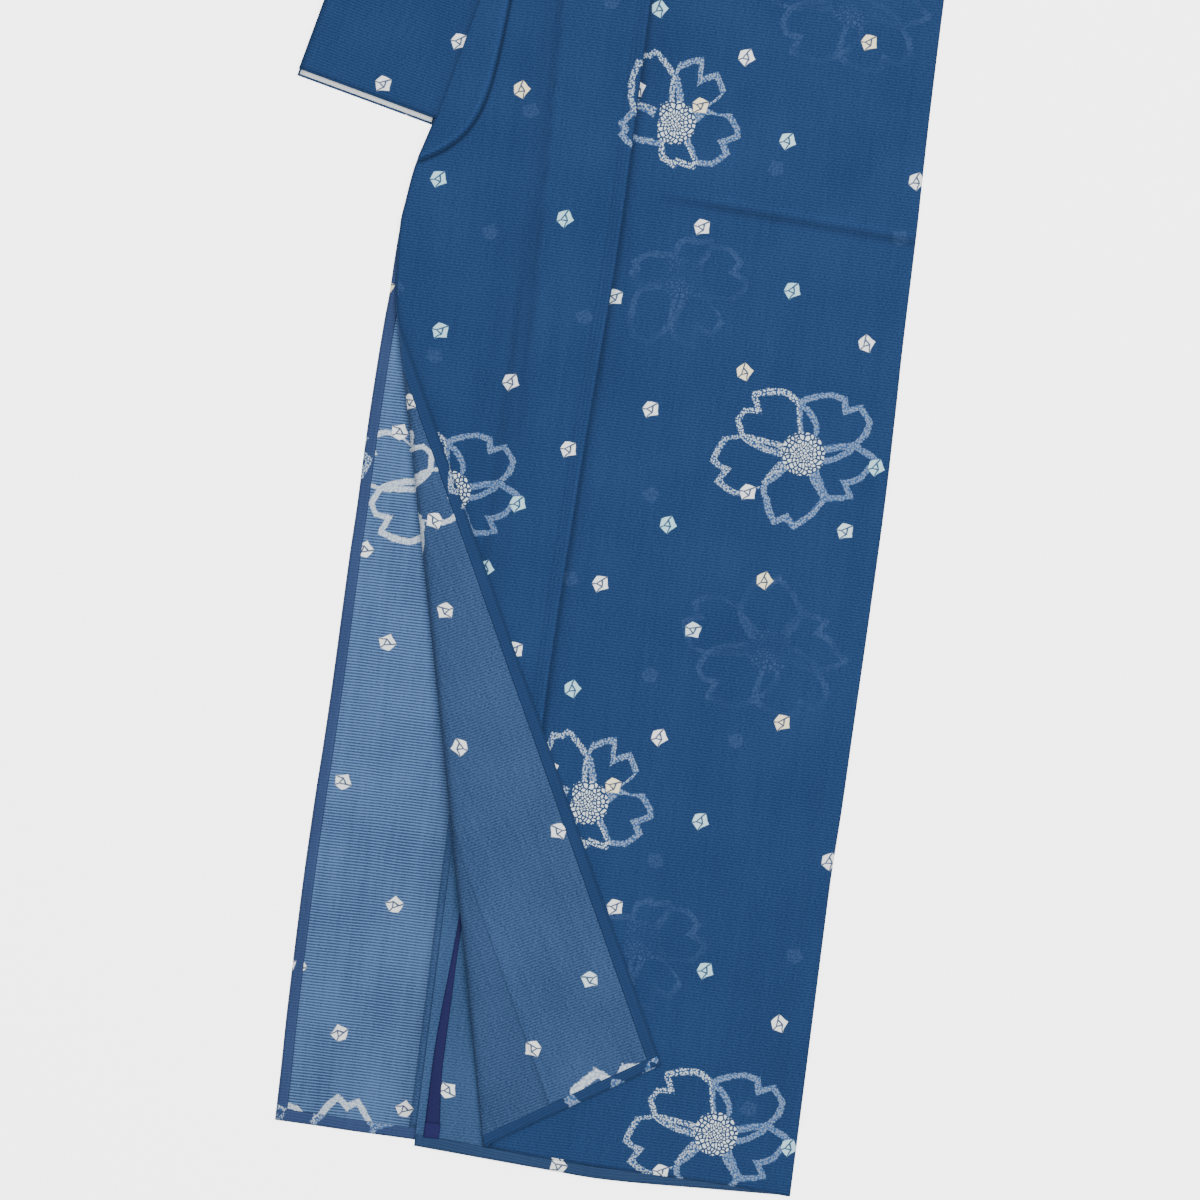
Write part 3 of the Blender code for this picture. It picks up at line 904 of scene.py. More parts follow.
def draw_chip(finish, name, lines=True):
    """Masks of a small five-sided chip and of the thin lines on it."""
    x, y, _ = finish.split(finish.shaken(finish.map(name), 0.11, 2.4))
    beyond = []
    for start, end in sides(CHIP_CORNERS):
        run = (end[0] - start[0], end[1] - start[1])
        length = math.hypot(*run)
        beyond.append((x - start[0]) * (-run[1] / length) + (y - start[1]) * (run[0] / length))
    chip = 1 - joined(beyond, "MAXIMUM").step(-0.1, 0.6)
    if not lines:
        return chip, None
    strokes = [stroke(x, y, *ends) for ends in sides(CHIP_MIDDLE) + list(zip(CHIP_MIDDLE, CHIP_ENDS))]
    return chip, 1 - joined(strokes, "MINIMUM").step(0.3, 0.85)


# %% [markdown]
# ## The cloth
# Ro is a silk gauze: every few weft threads the warp is twisted, which leaves rows of tiny
# holes across the cloth. Face up it is a deep indigo with fine ribs. The wrong side is paler
# and greyer, and where one layer lies alone on the white floor the ribs light up. Prints
# on the layer below shine through faintly, so the top front carries that print as well. Real
# holes and threads would take millions of faces, so they are colour and a slight relief here.

# %% Dyes and paints
RIB = 2.19
RELIEF_DEPTH = 0.0002
FACE_DARK = rgb(20, 45, 82)
FACE_LIGHT = rgb(35, 63, 104)
BAND_BLUE = rgb(59, 93, 142)
BAND_WHITE = rgb(222, 234, 238)
BAND_SOLID = rgb(176, 192, 212)
CHIP_WHITE = rgb(248, 250, 250)
CHIP_CREAM = rgb(252, 242, 206)
CHIP_BLUISH = rgb(178, 224, 236)
CHIP_LINE = rgb(30, 60, 100)
GHOST = rgb(88, 110, 150)


def gauze(finish, cloth, dark, light, ribs, grain):
    """The bare cloth's colour and relief: ribs, threads, streaks and clouds."""
    _, up, _ = finish.split(finish.shaken(cloth, 0.02, 1.6))
    wave = (up * (math.tau / RIB)).maths("SINE") * 0.5 + 0.5
    rib = wave.step(0.2, 0.95)
    weave = finish.noise(finish.stretched(cloth, (0.55, 1.5, 1.0)), 1.0, 2.0)
    streaks = finish.noise(finish.stretched(cloth, (0.22, 0.012, 1.0)), 1.0, 2.0)
    clouds = finish.noise(cloth, 0.016, 3.0)
    share = rib * ribs + (weave - 0.5) * grain + (streaks - 0.5) * 0.3 + (clouds - 0.5) * 0.55
    ground = finish.blend((share + (0.5 - ribs * 0.42)).held(), dark, light)
    return ground, rib * 0.6 + weave * 0.5


def shine_through(finish, cloth, ground, ghost):
    """Adds a faint copy of the print on the layer below."""
    band, disc, _, way = draw_flower(finish, "under_flower")
    chip, _ = draw_chip(finish, "under_chip", lines=False)
    patchy = finish.noise(way, 0.03).step(0.4, 0.62) * 0.8 + 0.2
    shine = (band * 0.8).maths("MAXIMUM", disc) * patchy
    shine = shine.maths("MAXIMUM", chip * 0.6) * finish.noise(cloth, 0.5).step(0.2, 0.7)
    return finish.blend(shine * ghost, ground, GHOST)


def paint_flowers(finish, ground, solid_print):
    """Bands of dots on the face, or of an even pale blue on the wrong side, and white discs."""
    band, disc, white, way = draw_flower(finish, "flower")
    dots = 1 - finish.cells(way, 0.66).step(0.3, 0.55)
    dotted = (dots * (white * 0.85 + 0.12)).maths("MAXIMUM", solid_print)
    band_colour = finish.blend(dotted.held(), BAND_BLUE, finish.blend(dots, BAND_SOLID, BAND_WHITE))
    between_dots = (1 - dots) * white * (0.7 - solid_print * 0.7)
    painted = finish.blend(band * (0.94 - between_dots), ground, band_colour)
    return finish.blend(disc, painted, BAND_WHITE)


def paint_chips(finish, painted):
    """Chips from bluish over white to cream, with their thin lines."""
    chip, lines = draw_chip(finish, "chip")
    tint = finish.value("chip_kind")
    chip_colour = finish.blend(tint.held(), CHIP_WHITE, CHIP_CREAM)
    chip_colour = finish.blend((0 - tint).held(), chip_colour, CHIP_BLUISH)
    chip_colour = finish.blend(lines * 0.95, chip_colour, CHIP_LINE)
    return finish.blend(chip, painted, chip_colour)


# %% Cloth finishes
def cloth_finish(name, dark, light, ribs, grain, solid_print=0.0, ghost=0.0):
    """The printed gauze, as seen from one side."""
    finish = Finish(name, roughness=0.85, Specular_IOR_Level=0.12, Sheen_Weight=0.02)
    cloth = finish.map("cloth")
    ground, relief = gauze(finish, cloth, dark, light, ribs, grain)
    if ghost:
        ground = shine_through(finish, cloth, ground, ghost)
    painted = paint_chips(finish, paint_flowers(finish, ground, solid_print))
    # The colour is scaled by each point's painted shading: painted shade and highlights, and a deeper tint
    # on seam allowances.
    finish.colour(finish.scaled(painted, finish.value("tone") + 1.0))
    finish.relief(relief, RELIEF_DEPTH)
    return finish.material


face_through = cloth_finish("cloth_face_through", FACE_DARK, FACE_LIGHT, ribs=0.5, grain=2.3, ghost=0.26)
face_cloth = cloth_finish("cloth_face", FACE_DARK, FACE_LIGHT, ribs=0.5, grain=2.3)
wrong_cloth = cloth_finish(
    "cloth_wrong_side", rgb(33, 55, 89), rgb(61, 86, 126), ribs=0.5, grain=2.6, solid_print=0.85,
)
back_cloth = cloth_finish(
    "cloth_wrong_side_of_back", rgb(36, 59, 91), rgb(60, 87, 126), ribs=0.5, grain=2.4, solid_print=0.85,
)
lit_cloth = cloth_finish(
    "cloth_wrong_side_lit", rgb(42, 60, 94), rgb(90, 122, 168), ribs=0.85, grain=0.8, solid_print=0.85,
)
hem_cloth = cloth_finish("cloth_hem", rgb(22, 45, 80), rgb(32, 58, 97), ribs=0.45, grain=0.9)
pale_hem = cloth_finish("cloth_hem_pale", rgb(31, 51, 82), rgb(45, 68, 103), ribs=0.45, grain=0.9)
faded_hem = cloth_finish("cloth_hem_faded", rgb(39, 55, 90), rgb(54, 72, 112), ribs=0.45, grain=1.2)
print("cloth finishes:", len(bpy.data.materials))

# %% [markdown]
# ## The two body strips
# Each half of the body is one length of cloth that runs up the front, over the shoulder and
# down the back. At the side seam the two edges are drawn together, and at the overlap seam the
# front's edge dips under the overlap panel's lip. One grid per strip keeps the print in step
# over the shoulder, and its columns stand closest where the seams bend the cloth.

# %% Rows, columns and seams
SIDE_COLUMNS = [0, 0.5, 1.1, 2.0, 3.2, 5.0, 8.0, 12.0]
SEAM_COLUMNS = [13.0, 9.0, 7.0, 5.6, 4.6, 3.8, 3.0, 2.2, 1.3, 0.4, 0.0]
MIDDLE_COLUMNS = 34
FINE_ROWS = spread(0, 16, 11) + spread(16, 704, 118)[1:]
FINE_ROWS += spread(704, 762, 40)[1:] + spread(762, LENGTH, 110)[1:]
PLAIN_ROWS = spread(0, 16, 8) + spread(16, LENGTH, 150)[1:]
SHOULDER_TURNS = 5
DRAWN_IN = 3.0
SEAM_GAP = 0.03
SEAM_DIP = 0.42


def columns_between(edge, inner):
    """Columns that stand close together beside both edges."""
    middle = spread(edge + SIDE_COLUMNS[-1], inner - SEAM_COLUMNS[0], MIDDLE_COLUMNS)[1:-1]
    return [edge + off for off in SIDE_COLUMNS] + middle + [inner - off for off in SEAM_COLUMNS]


def with_hem(up, table, across, fade=60):
    """A row's height with the hem's curve added, which fades upwards."""
    return up + read(table, across) * (1 - smooth(up / fade))


def seam_dip(across, inner):
    """How far the front dips under the lip of the overlap panel."""
    return SEAM_DIP * smooth((across - inner + 9) / 8)


def drawn_in(rise, other, from_side):
    """The height of a layer that is brought to the other layer at the side seam."""
    gap = (CLOTH / 2 + SEAM_GAP) * (1 if rise > other else -1)
    return mix(rise, (rise + other) / 2 + gap, 1 - smooth(from_side / DRAWN_IN))


def front_painted_shading(across, up, inner, edge):
    """Painted shading on the front: painted shadow beside its two seams, and a painted highlight and shade
    on the two sides of the crease.
    """
    to_seam = inner - across
    seam_shadow = -0.24 * bell(to_seam, 3.0, 2.0) - 0.22 * math.exp(-to_seam / 5.0)
    off = off_crease(across, up)
    crease_shading = (0.08 * bell(off, 3.0, 3.0) - 0.26 * bell(off, -2.5, 3.8)) * (1 - smooth((across - 140) / 70))
    side = -0.25 * bell(across, edge, 1.0) - 0.05 * bell(across - edge, 19, 1.5)
    return seam_shadow + crease_shading + side


# %% Body strips
def body(name, front_rise, back_rise, front_hem, back_hem, finishes, print_of, below, face_up, rows):
    """One strip: rows up the front, turns over the shoulder and rows down the back."""
    back_rows = list(reversed(PLAIN_ROWS))
    front_columns = []
    for up in rows:
        inner = read(PANEL_SEAM, up) if up <= OVERLAP_TIP else collar_seam(up)
        front_columns.append((columns_between(read(SIDE_EDGE, up), min(inner, BACK_WIDTH)), inner))
    back_columns = [columns_between(read(SIDE_EDGE, up), BACK_WIDTH) for up in back_rows]

    def front_place(column, row):
        columns, inner = front_columns[row]
        across = columns[column]
        up = with_hem(rows[row], front_hem, across)
        rise = front_rise(across, up) - (seam_dip(across, inner) if face_up else 0.0)
        rise = drawn_in(rise, back_rise, across - read(SIDE_EDGE, up))
        # Painted shading, with a painted shade line along the hem's edge.
        tone = front_painted_shading(across, up, inner, columns[0]) - 0.3 * bell(rows[row], 0, 1.2)
        return across, up, rise, across, up, tone

    def shoulder_place(column, turn):
        share = turn / (SHOULDER_TURNS + 1)
        across = mix(front_columns[-1][0][column], back_columns[0][column], share)
        high = front_rise(across, LENGTH)
        middle, swing = (high + back_rise) / 2, (high - back_rise) / 2
        up = LENGTH + abs(swing) * math.sin(math.pi * share)
        return across, up, middle + swing * math.cos(math.pi * share), across, LENGTH

    def back_place(column, row):
        across = back_columns[row][column]
        up = with_hem(back_rows[row], back_hem, across)
        rise = drawn_in(back_rise, front_rise(across, up), across - read(SIDE_EDGE, up))
        return across, up, rise, across, 2 * LENGTH - up

    def place(column, row):
        if row < len(rows):
            return front_place(column, row)
        if row < len(rows) + SHOULDER_TURNS:
            return shoulder_place(column, row - len(rows) + 1)
        return back_place(column, row - len(rows) - SHOULDER_TURNS)

    last = len(back_columns[0]) - 1
    steps = len(rows) + SHOULDER_TURNS + len(back_rows) - 1
    return sheet(name, last, steps, place, finishes, print_of, below, face_up=face_up)


front_print = (
    repeated(FRONT_FLOWERS, -1, 4) + over_shoulder(BACK_FLOWERS),
    repeated(FRONT_CHIPS, -1, 3) + SINGLE_CHIPS + over_shoulder(BACK_CHIPS),
)
under_print = (BACK_FLOWERS, BACK_CHIPS)
upper_body = body(
    "upper_body_cloth", upper_rise, UPPER_BACK, FRONT_HEM, BACK_HEM,
    [face_through, back_cloth], front_print, under_print, face_up=True, rows=FINE_ROWS,
)
lower_body = body(
    "lower_body_cloth", lambda across, up: LOWER_FRONT, LOWER_BACK,
    [(0, 7.0), (288, 5.0)], [(0, 2.0), (288, 1.0)],
    [face_cloth, wrong_cloth], front_print, below=None, face_up=False, rows=PLAIN_ROWS,
)

# %% Hems of the body
back_edge = run_of([(across, read(BACK_HEM, across)) for across in spread(0.8, BACK_WIDTH, 120)])


def on_back(across, up, lift):
    return across, up, UPPER_BACK + lift


back_hem = hem("upper_back_hem", 8.6, back_edge, on_back, [pale_hem], under_print, False)
front_edge = run_of([(across, read(FRONT_HEM, across)) for across in spread(0.8, SEAM_ACROSS - 0.5, 120)])


def under_front(across, up, lift):
    rise = upper_rise(across, up) - seam_dip(across, SEAM_ACROSS)
    return across, up, drawn_in(rise, UPPER_BACK, across) - lift


front_hem = hem(
    "upper_front_hem", 2.4, front_edge, under_front, [hem_cloth], front_print, True, shown=HEM_PROFILE[5:]
)
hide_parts("body_upper")
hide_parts("body_lower")

# %% [markdown]
# ## The overlap panels
# The top overlap panel carries the turned-back corner. Its columns follow the fold at the
# bottom and the lip of the tuck at the top, so that both stay crisp. An even grid would need
# many more faces for that. At the seam the panel has a small rounded lip that hides the
# stitches, and the seam's wide allowance lies on its wrong side, where it shows as a deeper
# blue strip with a straight edge.

# %% Columns of the upper overlap panel
HEM_FADE = 130.0
HEM_AT_SEAM = 6.7
HEM_AT_FRONT = 20.0
# Each row of the lip: how far from the seam, a lift and a painted shading, which paints thin lines of shade
# and highlight along the lip.
LIP = [
    (-1.4, 0.1, -0.4), (-1.6, 0.35, -0.3), (-1.0, 0.62, -0.1), (0.6, 0.68, 0.08),
    (2.0, 0.6, -0.1), (3.2, 0.5, 0.06), (5.0, 0.36, -0.12), (6.4, 0.2, 0.08),
    (7.8, 0.16, -0.14), (9.4, 0.05, 0.03), (14.0, 0.0, 0.0),
]
PLAIN_COLUMNS = 30
TURN_COLUMNS = 16
OUTER_COLUMNS = 34


def lifted_hem(across, up, inner, outer):
    """The panel's hem slants up towards the front edge."""
    share = (across - inner) / (outer - inner)
    at_seam = mix(HEM_AT_SEAM, 1.4, smooth(up / 40))
    return up + mix(at_seam, HEM_AT_FRONT, share) * (1 - smooth(up / HEM_FADE))


def overlap_stations(up):
    """Across values of the panel's columns at a height, from the lip to the front edge."""
    inner = read(PANEL_SEAM, up)
    outer = read(UPPER_EDGE, up) if up < COLLAR_FOOT[1] else collar_seam(up) - 0.3
    roll_start, roll = fold_start(up)
    lip_start = tuck_crest(max(up, 735.0)) - 6
    share = smooth((up - 640) / 90)
    start = min(mix(roll_start, lip_start, share), outer - 14)
    lip = [inner + row[0] for row in LIP]
    start = min(max(start, lip[-1] + 1), mix(lip[-1], outer, 0.75))
    end = min(start + mix(roll, 13.0, share), mix(start, outer, 0.6))
    main_part = spread(lip[-1], start, PLAIN_COLUMNS)[1:]
    turn_part = spread(start, end, TURN_COLUMNS)[1:]
    return lip + main_part + turn_part + spread(end, outer, OUTER_COLUMNS)[1:], inner, outer


# %% Upper overlap panel
def rolls_past(across, up):
    """How far a flat place is past the start of the fold, as turns of its roll."""
    return past_fold(across, up) / (math.pi * fold_radius(up))


def overlap_painted_shading(across, up):
    """Painted shade over the roll of the fold, painted light and shade at the back's centre step, a painted
    shadow beside the tape and at the tuck's lip.
    """
    turns = rolls_past(across, up) if up < FOLD_TOP else -1.0
    roll = -0.30 * bell(turns, 0.75, 0.28) - 0.10 * math.exp(-max(turns - 1, 0.0)) * (turns > 0)
    step = 0.05 * bell(across, 285, 3.0) - 0.14 * bell(across, 290, 3.2) - 0.08 * bell(across, 284, 10.0)
    step *= (turns < 0) * (1 - smooth((up - 600) / 150))
    ridge = across - 279.5 - 0.032 * (up - 730)
    ridge_shadow = -0.24 * smooth(ridge / 3.0) * math.exp(-max(ridge - 2.5, 0.0) / 7.0)
    ridge_shadow *= smooth((up - 520) / 150) * (1 - smooth((up - 980) / 200))
    slope = tuck_crest(up + 0.5) - tuck_crest(up - 0.5)
    past = (across - tuck_crest(up)) / math.hypot(1, slope)
    tuck_shading = (0.12 * bell(past, 1, 2.0) - 0.62 * bell(past, -2.2, 1.4)) * tuck_rows(up)
    return roll + step + ridge_shadow + tuck_shading


upper_rows = spread(0, 60, 20) + spread(60, 640, 140)[1:] + spread(640, 720, 28)[1:]
upper_rows += spread(720, 780, 60)[1:] + spread(780, 900, 44)[1:] + spread(900, OVERLAP_TIP, 80)[1:]
upper_stations = [overlap_stations(up) for up in upper_rows]


def upper_overlap_place(column, row):
    stations, inner, outer = upper_stations[row]
    across = stations[column]
    up = lifted_hem(across, upper_rows[row], inner, outer)
    lip_lift, lip_painted_shading = LIP[column][1:] if column < len(LIP) else (0.0, 0.0)
    if rolls_past(across, up) > 0.5 and up < 300:
        lip_lift = -lip_lift
    x, y, z = turned(across, up)
    return x, y, z + lip_lift, across, up, overlap_painted_shading(across, up) + lip_painted_shading


overlap_print = (OVERLAP_FLOWERS, OVERLAP_CHIPS)
under_overlap = (BACK_FLOWERS, BACK_CHIPS + LOWER_CHIPS)
upper_overlap = sheet(
    "upper_overlap_cloth", len(upper_stations[0][0]) - 1, len(upper_rows) - 1, upper_overlap_place,
    [face_through, wrong_cloth], overlap_print, under_overlap,
)
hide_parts("okumi_upper")

# %% Its hems and its seam allowance
ALLOWANCE_EDGE = 293.5
ALLOWANCE_THICK = 0.25
ALLOWANCE_LIFT = 0.42


def upper_hem_up(across):
    """How high the hem of the upper overlap panel is."""
    return lifted_hem(across, 0.0, SEAM_ACROSS, FRONT_ACROSS)


hem_line = [(across, upper_hem_up(across)) for across in spread(SEAM_ACROSS + 0.5, FRONT_ACROSS - 0.1, 150)]
front_line = [(read(UPPER_EDGE, up), up) for up in spread(upper_hem_up(FRONT_ACROSS) + 0.2, 774.0, 260)]
upper_hem = hem("upper_overlap_hem", 7.8, run_of(hem_line), turned, [hem_cloth], overlap_print, True)
upper_edge = hem("upper_overlap_edge", 8.4, run_of(front_line), turned, [hem_cloth], overlap_print, True)


def allowance_place(column, row):
    """The strip is made only where the turned-back corner shows it."""
    up = mix(12.0, 252.0, row / 90)
    roll_start, roll = fold_start(up)
    roll_start = max(roll_start, SEAM_ACROSS + 1.0)
    start = min(roll_start - 0.5, ALLOWANCE_EDGE - 4)
    middle = min(max(roll_start + roll, start + 1), ALLOWANCE_EDGE - 2)
    across = (spread(start, middle, 14)[:-1] + spread(middle, ALLOWANCE_EDGE, 12))[column]
    x, y, z = turned(across, up, ALLOWANCE_LIFT)
    # A deeper tint for the extra layer, painted shade along its edge and half the painted shade of the panel
    # above.
    tone = -0.09 - 0.18 * bell(across, ALLOWANCE_EDGE, 0.8) + min(overlap_painted_shading(across, up), 0) / 2
    return x, y, z, across, up, tone


allowance = sheet(
    "upper_overlap_allowance", 26, 90, allowance_place, [wrong_cloth], overlap_print, thick=ALLOWANCE_THICK
)

# %% Lower overlap panel
LOWER_COLUMNS = 32
LOWER_HEM = [(233, 3.6), (288, 4.4), (330, 4.7), (365, 5.4), (395, 5.8)]
lower_rows = spread(0.0, LOWER_FOOT, 130) + spread(LOWER_FOOT, OVERLAP_TIP, 60)[1:]


def on_lower(across, up, lift=0.0):
    wave = 0.12 * math.sin(across / 19 + up / 70) * math.sin(up / 83) + 0.1
    return across, up, LOWER_FRONT + wave + lift


def lower_overlap_place(column, row):
    up = lower_rows[row]
    inner = read(PANEL_SEAM, up)
    outer = read(LOWER_EDGE, up) if up <= LOWER_FOOT else collar_seam(up) - 0.3
    across = mix(inner, outer, column / LOWER_COLUMNS)
    up = with_hem(up, LOWER_HEM, across, 50)
    past_back = max(across - BACK_WIDTH - 5.5, 0.0)
    # Painted shadow beside the back's edge, and the cloth darker towards the hem.
    tone = -0.22 * math.exp(-past_back / 7.0) * (across > BACK_WIDTH - 2) - 0.1 * (1 - smooth(up / 420))
    return *on_lower(across, up), across, up, tone


lower_print = (LOWER_FLOWERS, LOWER_CHIPS)
lower_overlap = sheet(
    "lower_overlap_cloth", LOWER_COLUMNS, len(lower_rows) - 1, lower_overlap_place,
    [face_cloth, lit_cloth], lower_print, face_up=False,
)
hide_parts("okumi_lower")
lower_line = [(across, read(LOWER_HEM, across)) for across in spread(234.5, 394.7, 120)]
lower_side = [(read(LOWER_EDGE, up), up) for up in spread(6.0, 768.0, 260)]
lower_hem = hem("lower_overlap_hem", 8.6, run_of(lower_line), on_lower, [faded_hem], lower_print, False)
lower_edge = hem("lower_overlap_edge", 8.0, run_of(lower_side), on_lower, [faded_hem], lower_print, False)


def lower_allowance_place(column, row):
    across = mix(SEAM_ACROSS + 1.0, ALLOWANCE_EDGE, column / 12)
    up = mix(13.0, 760.0, row / 120)
    # Painted shade along the allowance's edge.
    return *on_lower(across, up, ALLOWANCE_LIFT), across, up, -0.06 * bell(across, ALLOWANCE_EDGE, 1.2)


lower_allowance = sheet(
    "lower_overlap_allowance", 12, 120, lower_allowance_place, [wrong_cloth], lower_print,
    thick=ALLOWANCE_THICK, face_up=False,
)

# %% [markdown]
# ## The collar
# The collar is one long strip. Near its foot it lies open to its full width, and round the neck
# it is folded. It is lined with white silk, which shows as a narrow line below its end. It could
# be bent along a curve with a modifier, but its grid is laid along the seam's path directly, so
# that each row's place in the flat cloth is known. At half its length it turns over to the layer
# below and runs back to the other foot.

# %% Collar
COLLAR_COLUMNS = 26
COLLAR_END = -0.1
COLLAR_LAP = 1.2
COLLAR_INSET = 0.2
LOWER_COLLAR_END = -4.8
collar_half = spread(COLLAR_END, STRAIGHT, 160) + spread(STRAIGHT, HALF_COLLAR, 40)[1:]
collar_lower_half = list(reversed(collar_half[1:-1])) + [LOWER_COLLAR_END]
COLLAR_TURNS = 5


def collar_top(along, share, painted_edge_shade):
    """The upper half, which covers its seam and rises from it."""
    out = mix(-COLLAR_LAP, collar_reach(along), share)
    across, up = collar_point(along, out)
    wave = 0.1 * math.sin(along / 60 + out / 20) * smooth(along / 30)
    rise = upper_rise(across, up) + 0.6 * (1 - smooth((out + COLLAR_LAP) / 6)) + wave
    # Painted shade along the two edges and at the end of the collar.
    return across, up, rise, out, along, painted_edge_shade - 0.2 * bell(along, COLLAR_END, 1.2)


def collar_turn(step, share, painted_edge_shade):
    """The turn from the upper half to the lower one, at the middle of the back of the neck."""
    across, up = collar_point(HALF_COLLAR, mix(COLLAR_INSET, COLLAR_FOLDED, share))
    high = upper_rise(across, up)
    angle = math.pi * step / (COLLAR_TURNS + 1)
    out, middle = (high - LOWER_FRONT) / 2, (high + LOWER_FRONT) / 2
    rise = middle + out * math.cos(angle)
    return across + out * math.sin(angle), up, rise, share * COLLAR_FOLDED, HALF_COLLAR, painted_edge_shade


def collar_place(column, row):
    share = column / COLLAR_COLUMNS
    # Painted shade along the collar's two edges.
    painted_edge_shade = -0.25 * math.exp(-share * 60) - 0.2 * math.exp(-(1 - share) * 60)
    step = row - len(collar_half) + 1
    if step <= 0:
        return collar_top(collar_half[row], share, painted_edge_shade)
    if step <= COLLAR_TURNS:
        return collar_turn(step, share, painted_edge_shade)
    along = collar_lower_half[step - COLLAR_TURNS - 1]
    out = mix(COLLAR_INSET, collar_reach(along), share)
    return *collar_point(along, out), LOWER_FRONT, out, 2 * HALF_COLLAR - along, painted_edge_shade


collar_print = (COLLAR_FLOWERS + repeated(COLLAR_FLOWERS, 2, 4), COLLAR_CHIPS + repeated(COLLAR_CHIPS, 1, 4))
collar_steps = len(collar_half) + COLLAR_TURNS + len(collar_lower_half) - 1
collar = sheet(
    "collar_cloth", COLLAR_COLUMNS, collar_steps, collar_place, [face_cloth, wrong_cloth], collar_print
)
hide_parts("collar")

# %% [markdown]
# ## The lining, the tape and the sleeves
# The lining and the tape are plain silk, so their finish is only fine threads. A sleeve is one
# sheet that is folded over the shoulder, with its two lower edges sewn together. The sleeves lie
# beyond the photograph, so they are plain, but a garment seen from all sides needs them.


# %% Plain finishes
def plain_finish(name, base, light, threads, roughness):
    """A plain silk with fine threads."""
    finish = Finish(name, roughness, Specular_IOR_Level=0.1)
    weave = finish.noise(finish.stretched(finish.map("cloth"), threads), 1.0, 2.0)
    # The colour is scaled by each point's painted shading: painted shade along the tape's sides and a
    # painted highlight on its turned-up end.
    shade = finish.scaled(finish.blend(weave, base, light), finish.value("tone") + 1.0)
    finish.colour(shade)
    finish.relief(weave, RELIEF_DEPTH)
    return finish.material


lining_silk = plain_finish("lining_silk", rgb(205, 210, 214), rgb(245, 247, 247), (2.5, 0.8, 1.0), 0.6)
tape_silk = plain_finish("tape_silk", rgb(20, 20, 62), rgb(32, 33, 84), (0.4, 2.4, 1.0), 0.5)


# %% Linings
LINING_LENGTH = 300.0
LINING_INSET = 1.8


def lining(name, start, rise, node):
    """A strip a little narrower than the collar, from its foot upwards."""
    columns, rows = 16, 50

    def place(column, row):
        along = mix(start, start + LINING_LENGTH, row / rows)
        out = mix(LINING_INSET, collar_reach(along) - LINING_INSET, column / columns)
        across, up = collar_point(along, out)
        return across, up, rise, out, along

    piece = sheet(name, columns, rows, place, [lining_silk], NO_PRINT, thick=0.4)
    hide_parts(node)
    return piece


upper_lining = lining("upper_collar_lining", 1.0, UPPER_BACK, "collar_lining_upper")
lower_lining = lining("lower_collar_lining", LOWER_COLLAR_END + 1.6, LOWER_BACK, "collar_lining_lower")

# %% Back seam tape
TAPE_RIGHT = 270.0
TAPE_LEFT = 281.6
TAPE_RISE = UPPER_BACK + 0.75
TAPE_COLUMNS = 8
FOOT_TOP = 19.5


def tape_swell(column):
    """The tape is a little thicker along its middle."""
    return math.sin(math.pi * column / TAPE_COLUMNS)


def tape_place(column, row):
    """The turned-back corner hides part of the tape near its foot, so it is narrower there."""
    up = mix(7.8, TAPE_TOP, row / 260)
    # Painted shade along both sides of the tape.
    sides = -0.3 * math.exp(-column * 1.6) - 0.3 * math.exp(-(TAPE_COLUMNS - column) * 1.6)
    hidden = 1 - smooth((up - 200) / 80)
    right = TAPE_RIGHT + 3.7 * smooth((up - 5) / 60) * hidden
    left = TAPE_LEFT - 5.4 * smooth((up - 60) / 130) * hidden
    across = mix(right, left, column / TAPE_COLUMNS) + 0.25 * math.sin(up / 43)
    return across, up, TAPE_RISE + 0.15 * tape_swell(column), across, up, sides


def tape_foot_place(column, row):
    """The tape's end is turned up over itself."""
    across = mix(TAPE_RIGHT - 0.1, TAPE_LEFT + 0.1, column / TAPE_COLUMNS)
    up = mix(7.5, FOOT_TOP, row / 10)
    # A painted highlight on the turned-up end, with a painted shadow line along its top.
    tone = 0.18 - 0.5 * bell(up, FOOT_TOP, 0.9)
    return across, up, TAPE_RISE + 0.5 + 0.1 * tape_swell(column), across, up, tone


tape = sheet("back_seam_tape_silk", TAPE_COLUMNS, 260, tape_place, [tape_silk], NO_PRINT, thick=0.35)
tape_foot = sheet("back_seam_tape_foot", TAPE_COLUMNS, 10, tape_foot_place, [tape_silk], NO_PRINT, thick=0.3)
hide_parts("back_seam_tape")


# %% Sleeves
SLEEVE_START = SHOULDER_EDGE - 0.3
SLEEVE_WIDTH = 340.0
SLEEVE_DEPTH = 490.0
SLEEVE_CORNER = 22.0


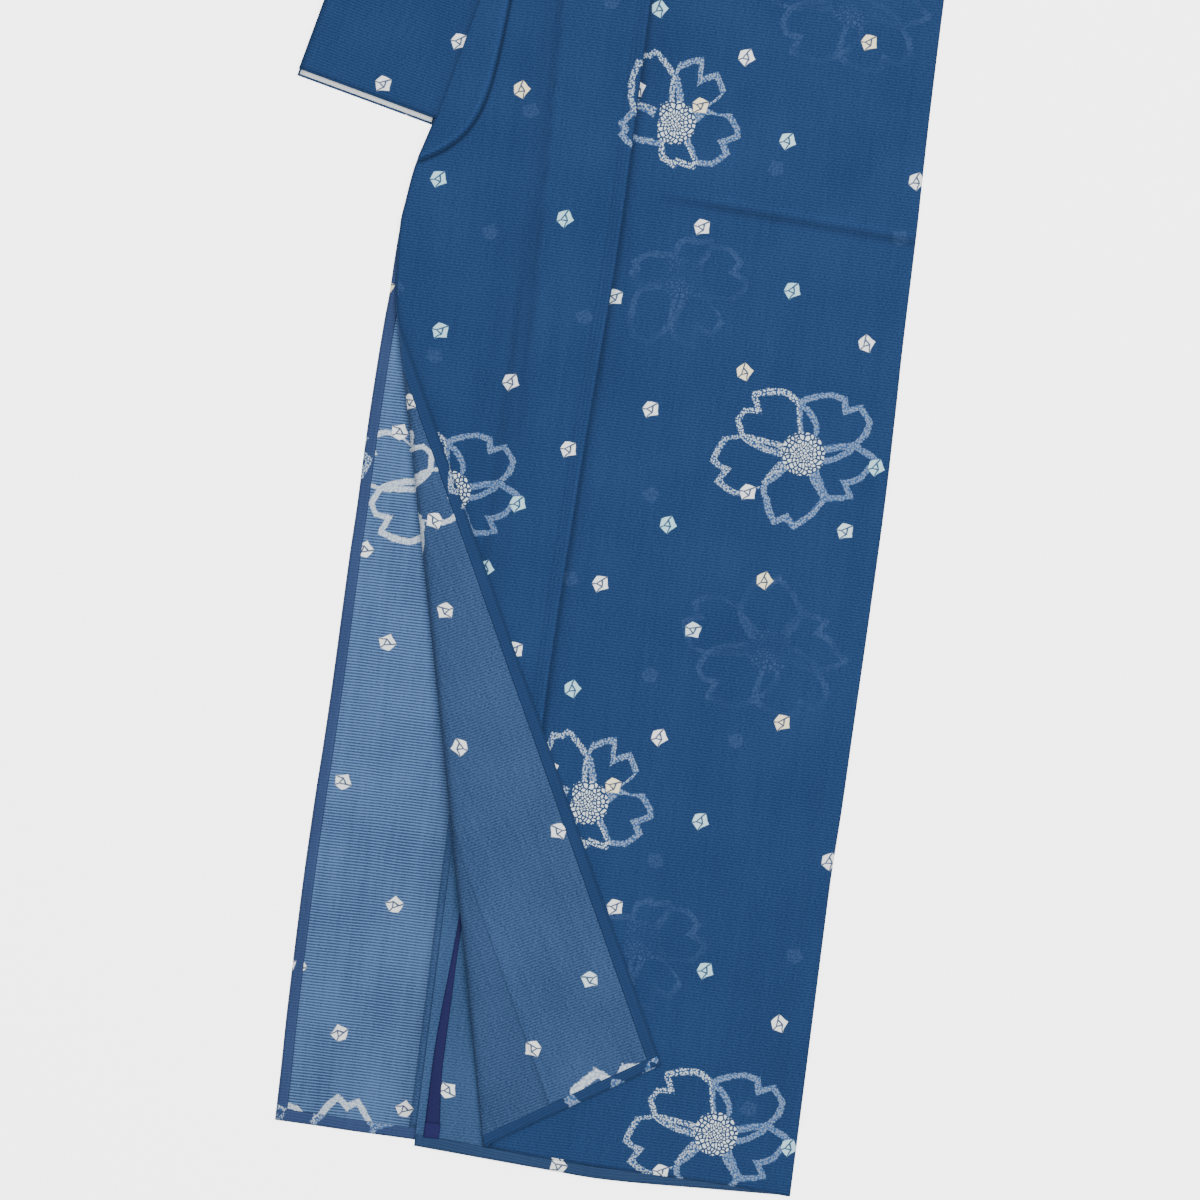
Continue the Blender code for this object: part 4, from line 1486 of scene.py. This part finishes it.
def sleeve(name, low, high, node):
    """A sleeve with a rounded lower corner, from its upper layer over the fold to the lower one."""
    corner_steps, layer_steps, turns = 8, 60, 5
    reach = SLEEVE_START - SLEEVE_WIDTH
    bends = spread(0.0, math.pi / 2, corner_steps)
    corner = [reach + SLEEVE_CORNER * (1 - math.sin(bend)) for bend in bends]
    stations = spread(SLEEVE_START, corner[0], 44)[:-1] + corner
    radius, middle = (high - low) / 2, (high + low) / 2

    def place(column, row):
        across = stations[column]
        if layer_steps < row < layer_steps + turns:
            angle = math.pi * (row - layer_steps) / turns
            up = LENGTH + radius * math.sin(angle)
            return across, up, middle + radius * math.cos(angle), across, LENGTH
        into_corner = max(reach + SLEEVE_CORNER - across, 0.0)
        rounded = SLEEVE_CORNER - math.sqrt(max(SLEEVE_CORNER**2 - into_corner**2, 0.0))
        foot = LENGTH - SLEEVE_DEPTH + rounded
        top = row <= layer_steps
        share = row / layer_steps if top else 1 - (row - layer_steps - turns) / layer_steps
        up = mix(foot, LENGTH, share)
        closed = 1 - smooth((up - foot) / 3)
        rise = mix(high if top else low, middle + (0.25 if top else -0.25), closed)
        rise += 0.1 * math.sin(across / 40 + up / 60) * smooth((LENGTH - up) / 50) * (1 - closed)
        flat_up = up - LENGTH + SLEEVE_DEPTH if top else LENGTH + SLEEVE_DEPTH - up
        # Painted shade along the sleeve's sewn lower edge.
        return across, up, rise, across, flat_up, -0.25 * bell(up, foot, 1.5)

    chips = [(a - 290, *rest) for a, *rest in repeated(FRONT_CHIPS, 0, 2)]
    print_of = (SLEEVE_FLOWERS + repeated(SLEEVE_FLOWERS, 1, 2), chips)
    steps = 2 * layer_steps + turns
    piece = sheet(name, len(stations) - 1, steps, place, [face_cloth, wrong_cloth], print_of)
    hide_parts(node)
    return piece


upper_sleeve = sleeve("upper_sleeve_cloth", UPPER_BACK, UPPER_FRONT, "sleeve_upper")
lower_sleeve = sleeve("lower_sleeve_cloth", LOWER_FRONT, LOWER_BACK, "sleeve_lower")

# %% [markdown]
# ## The collar's length
# The last cell only works out the length of the whole collar in metres.

# %% The collar's length in metres
2 * HALF_COLLAR * MM
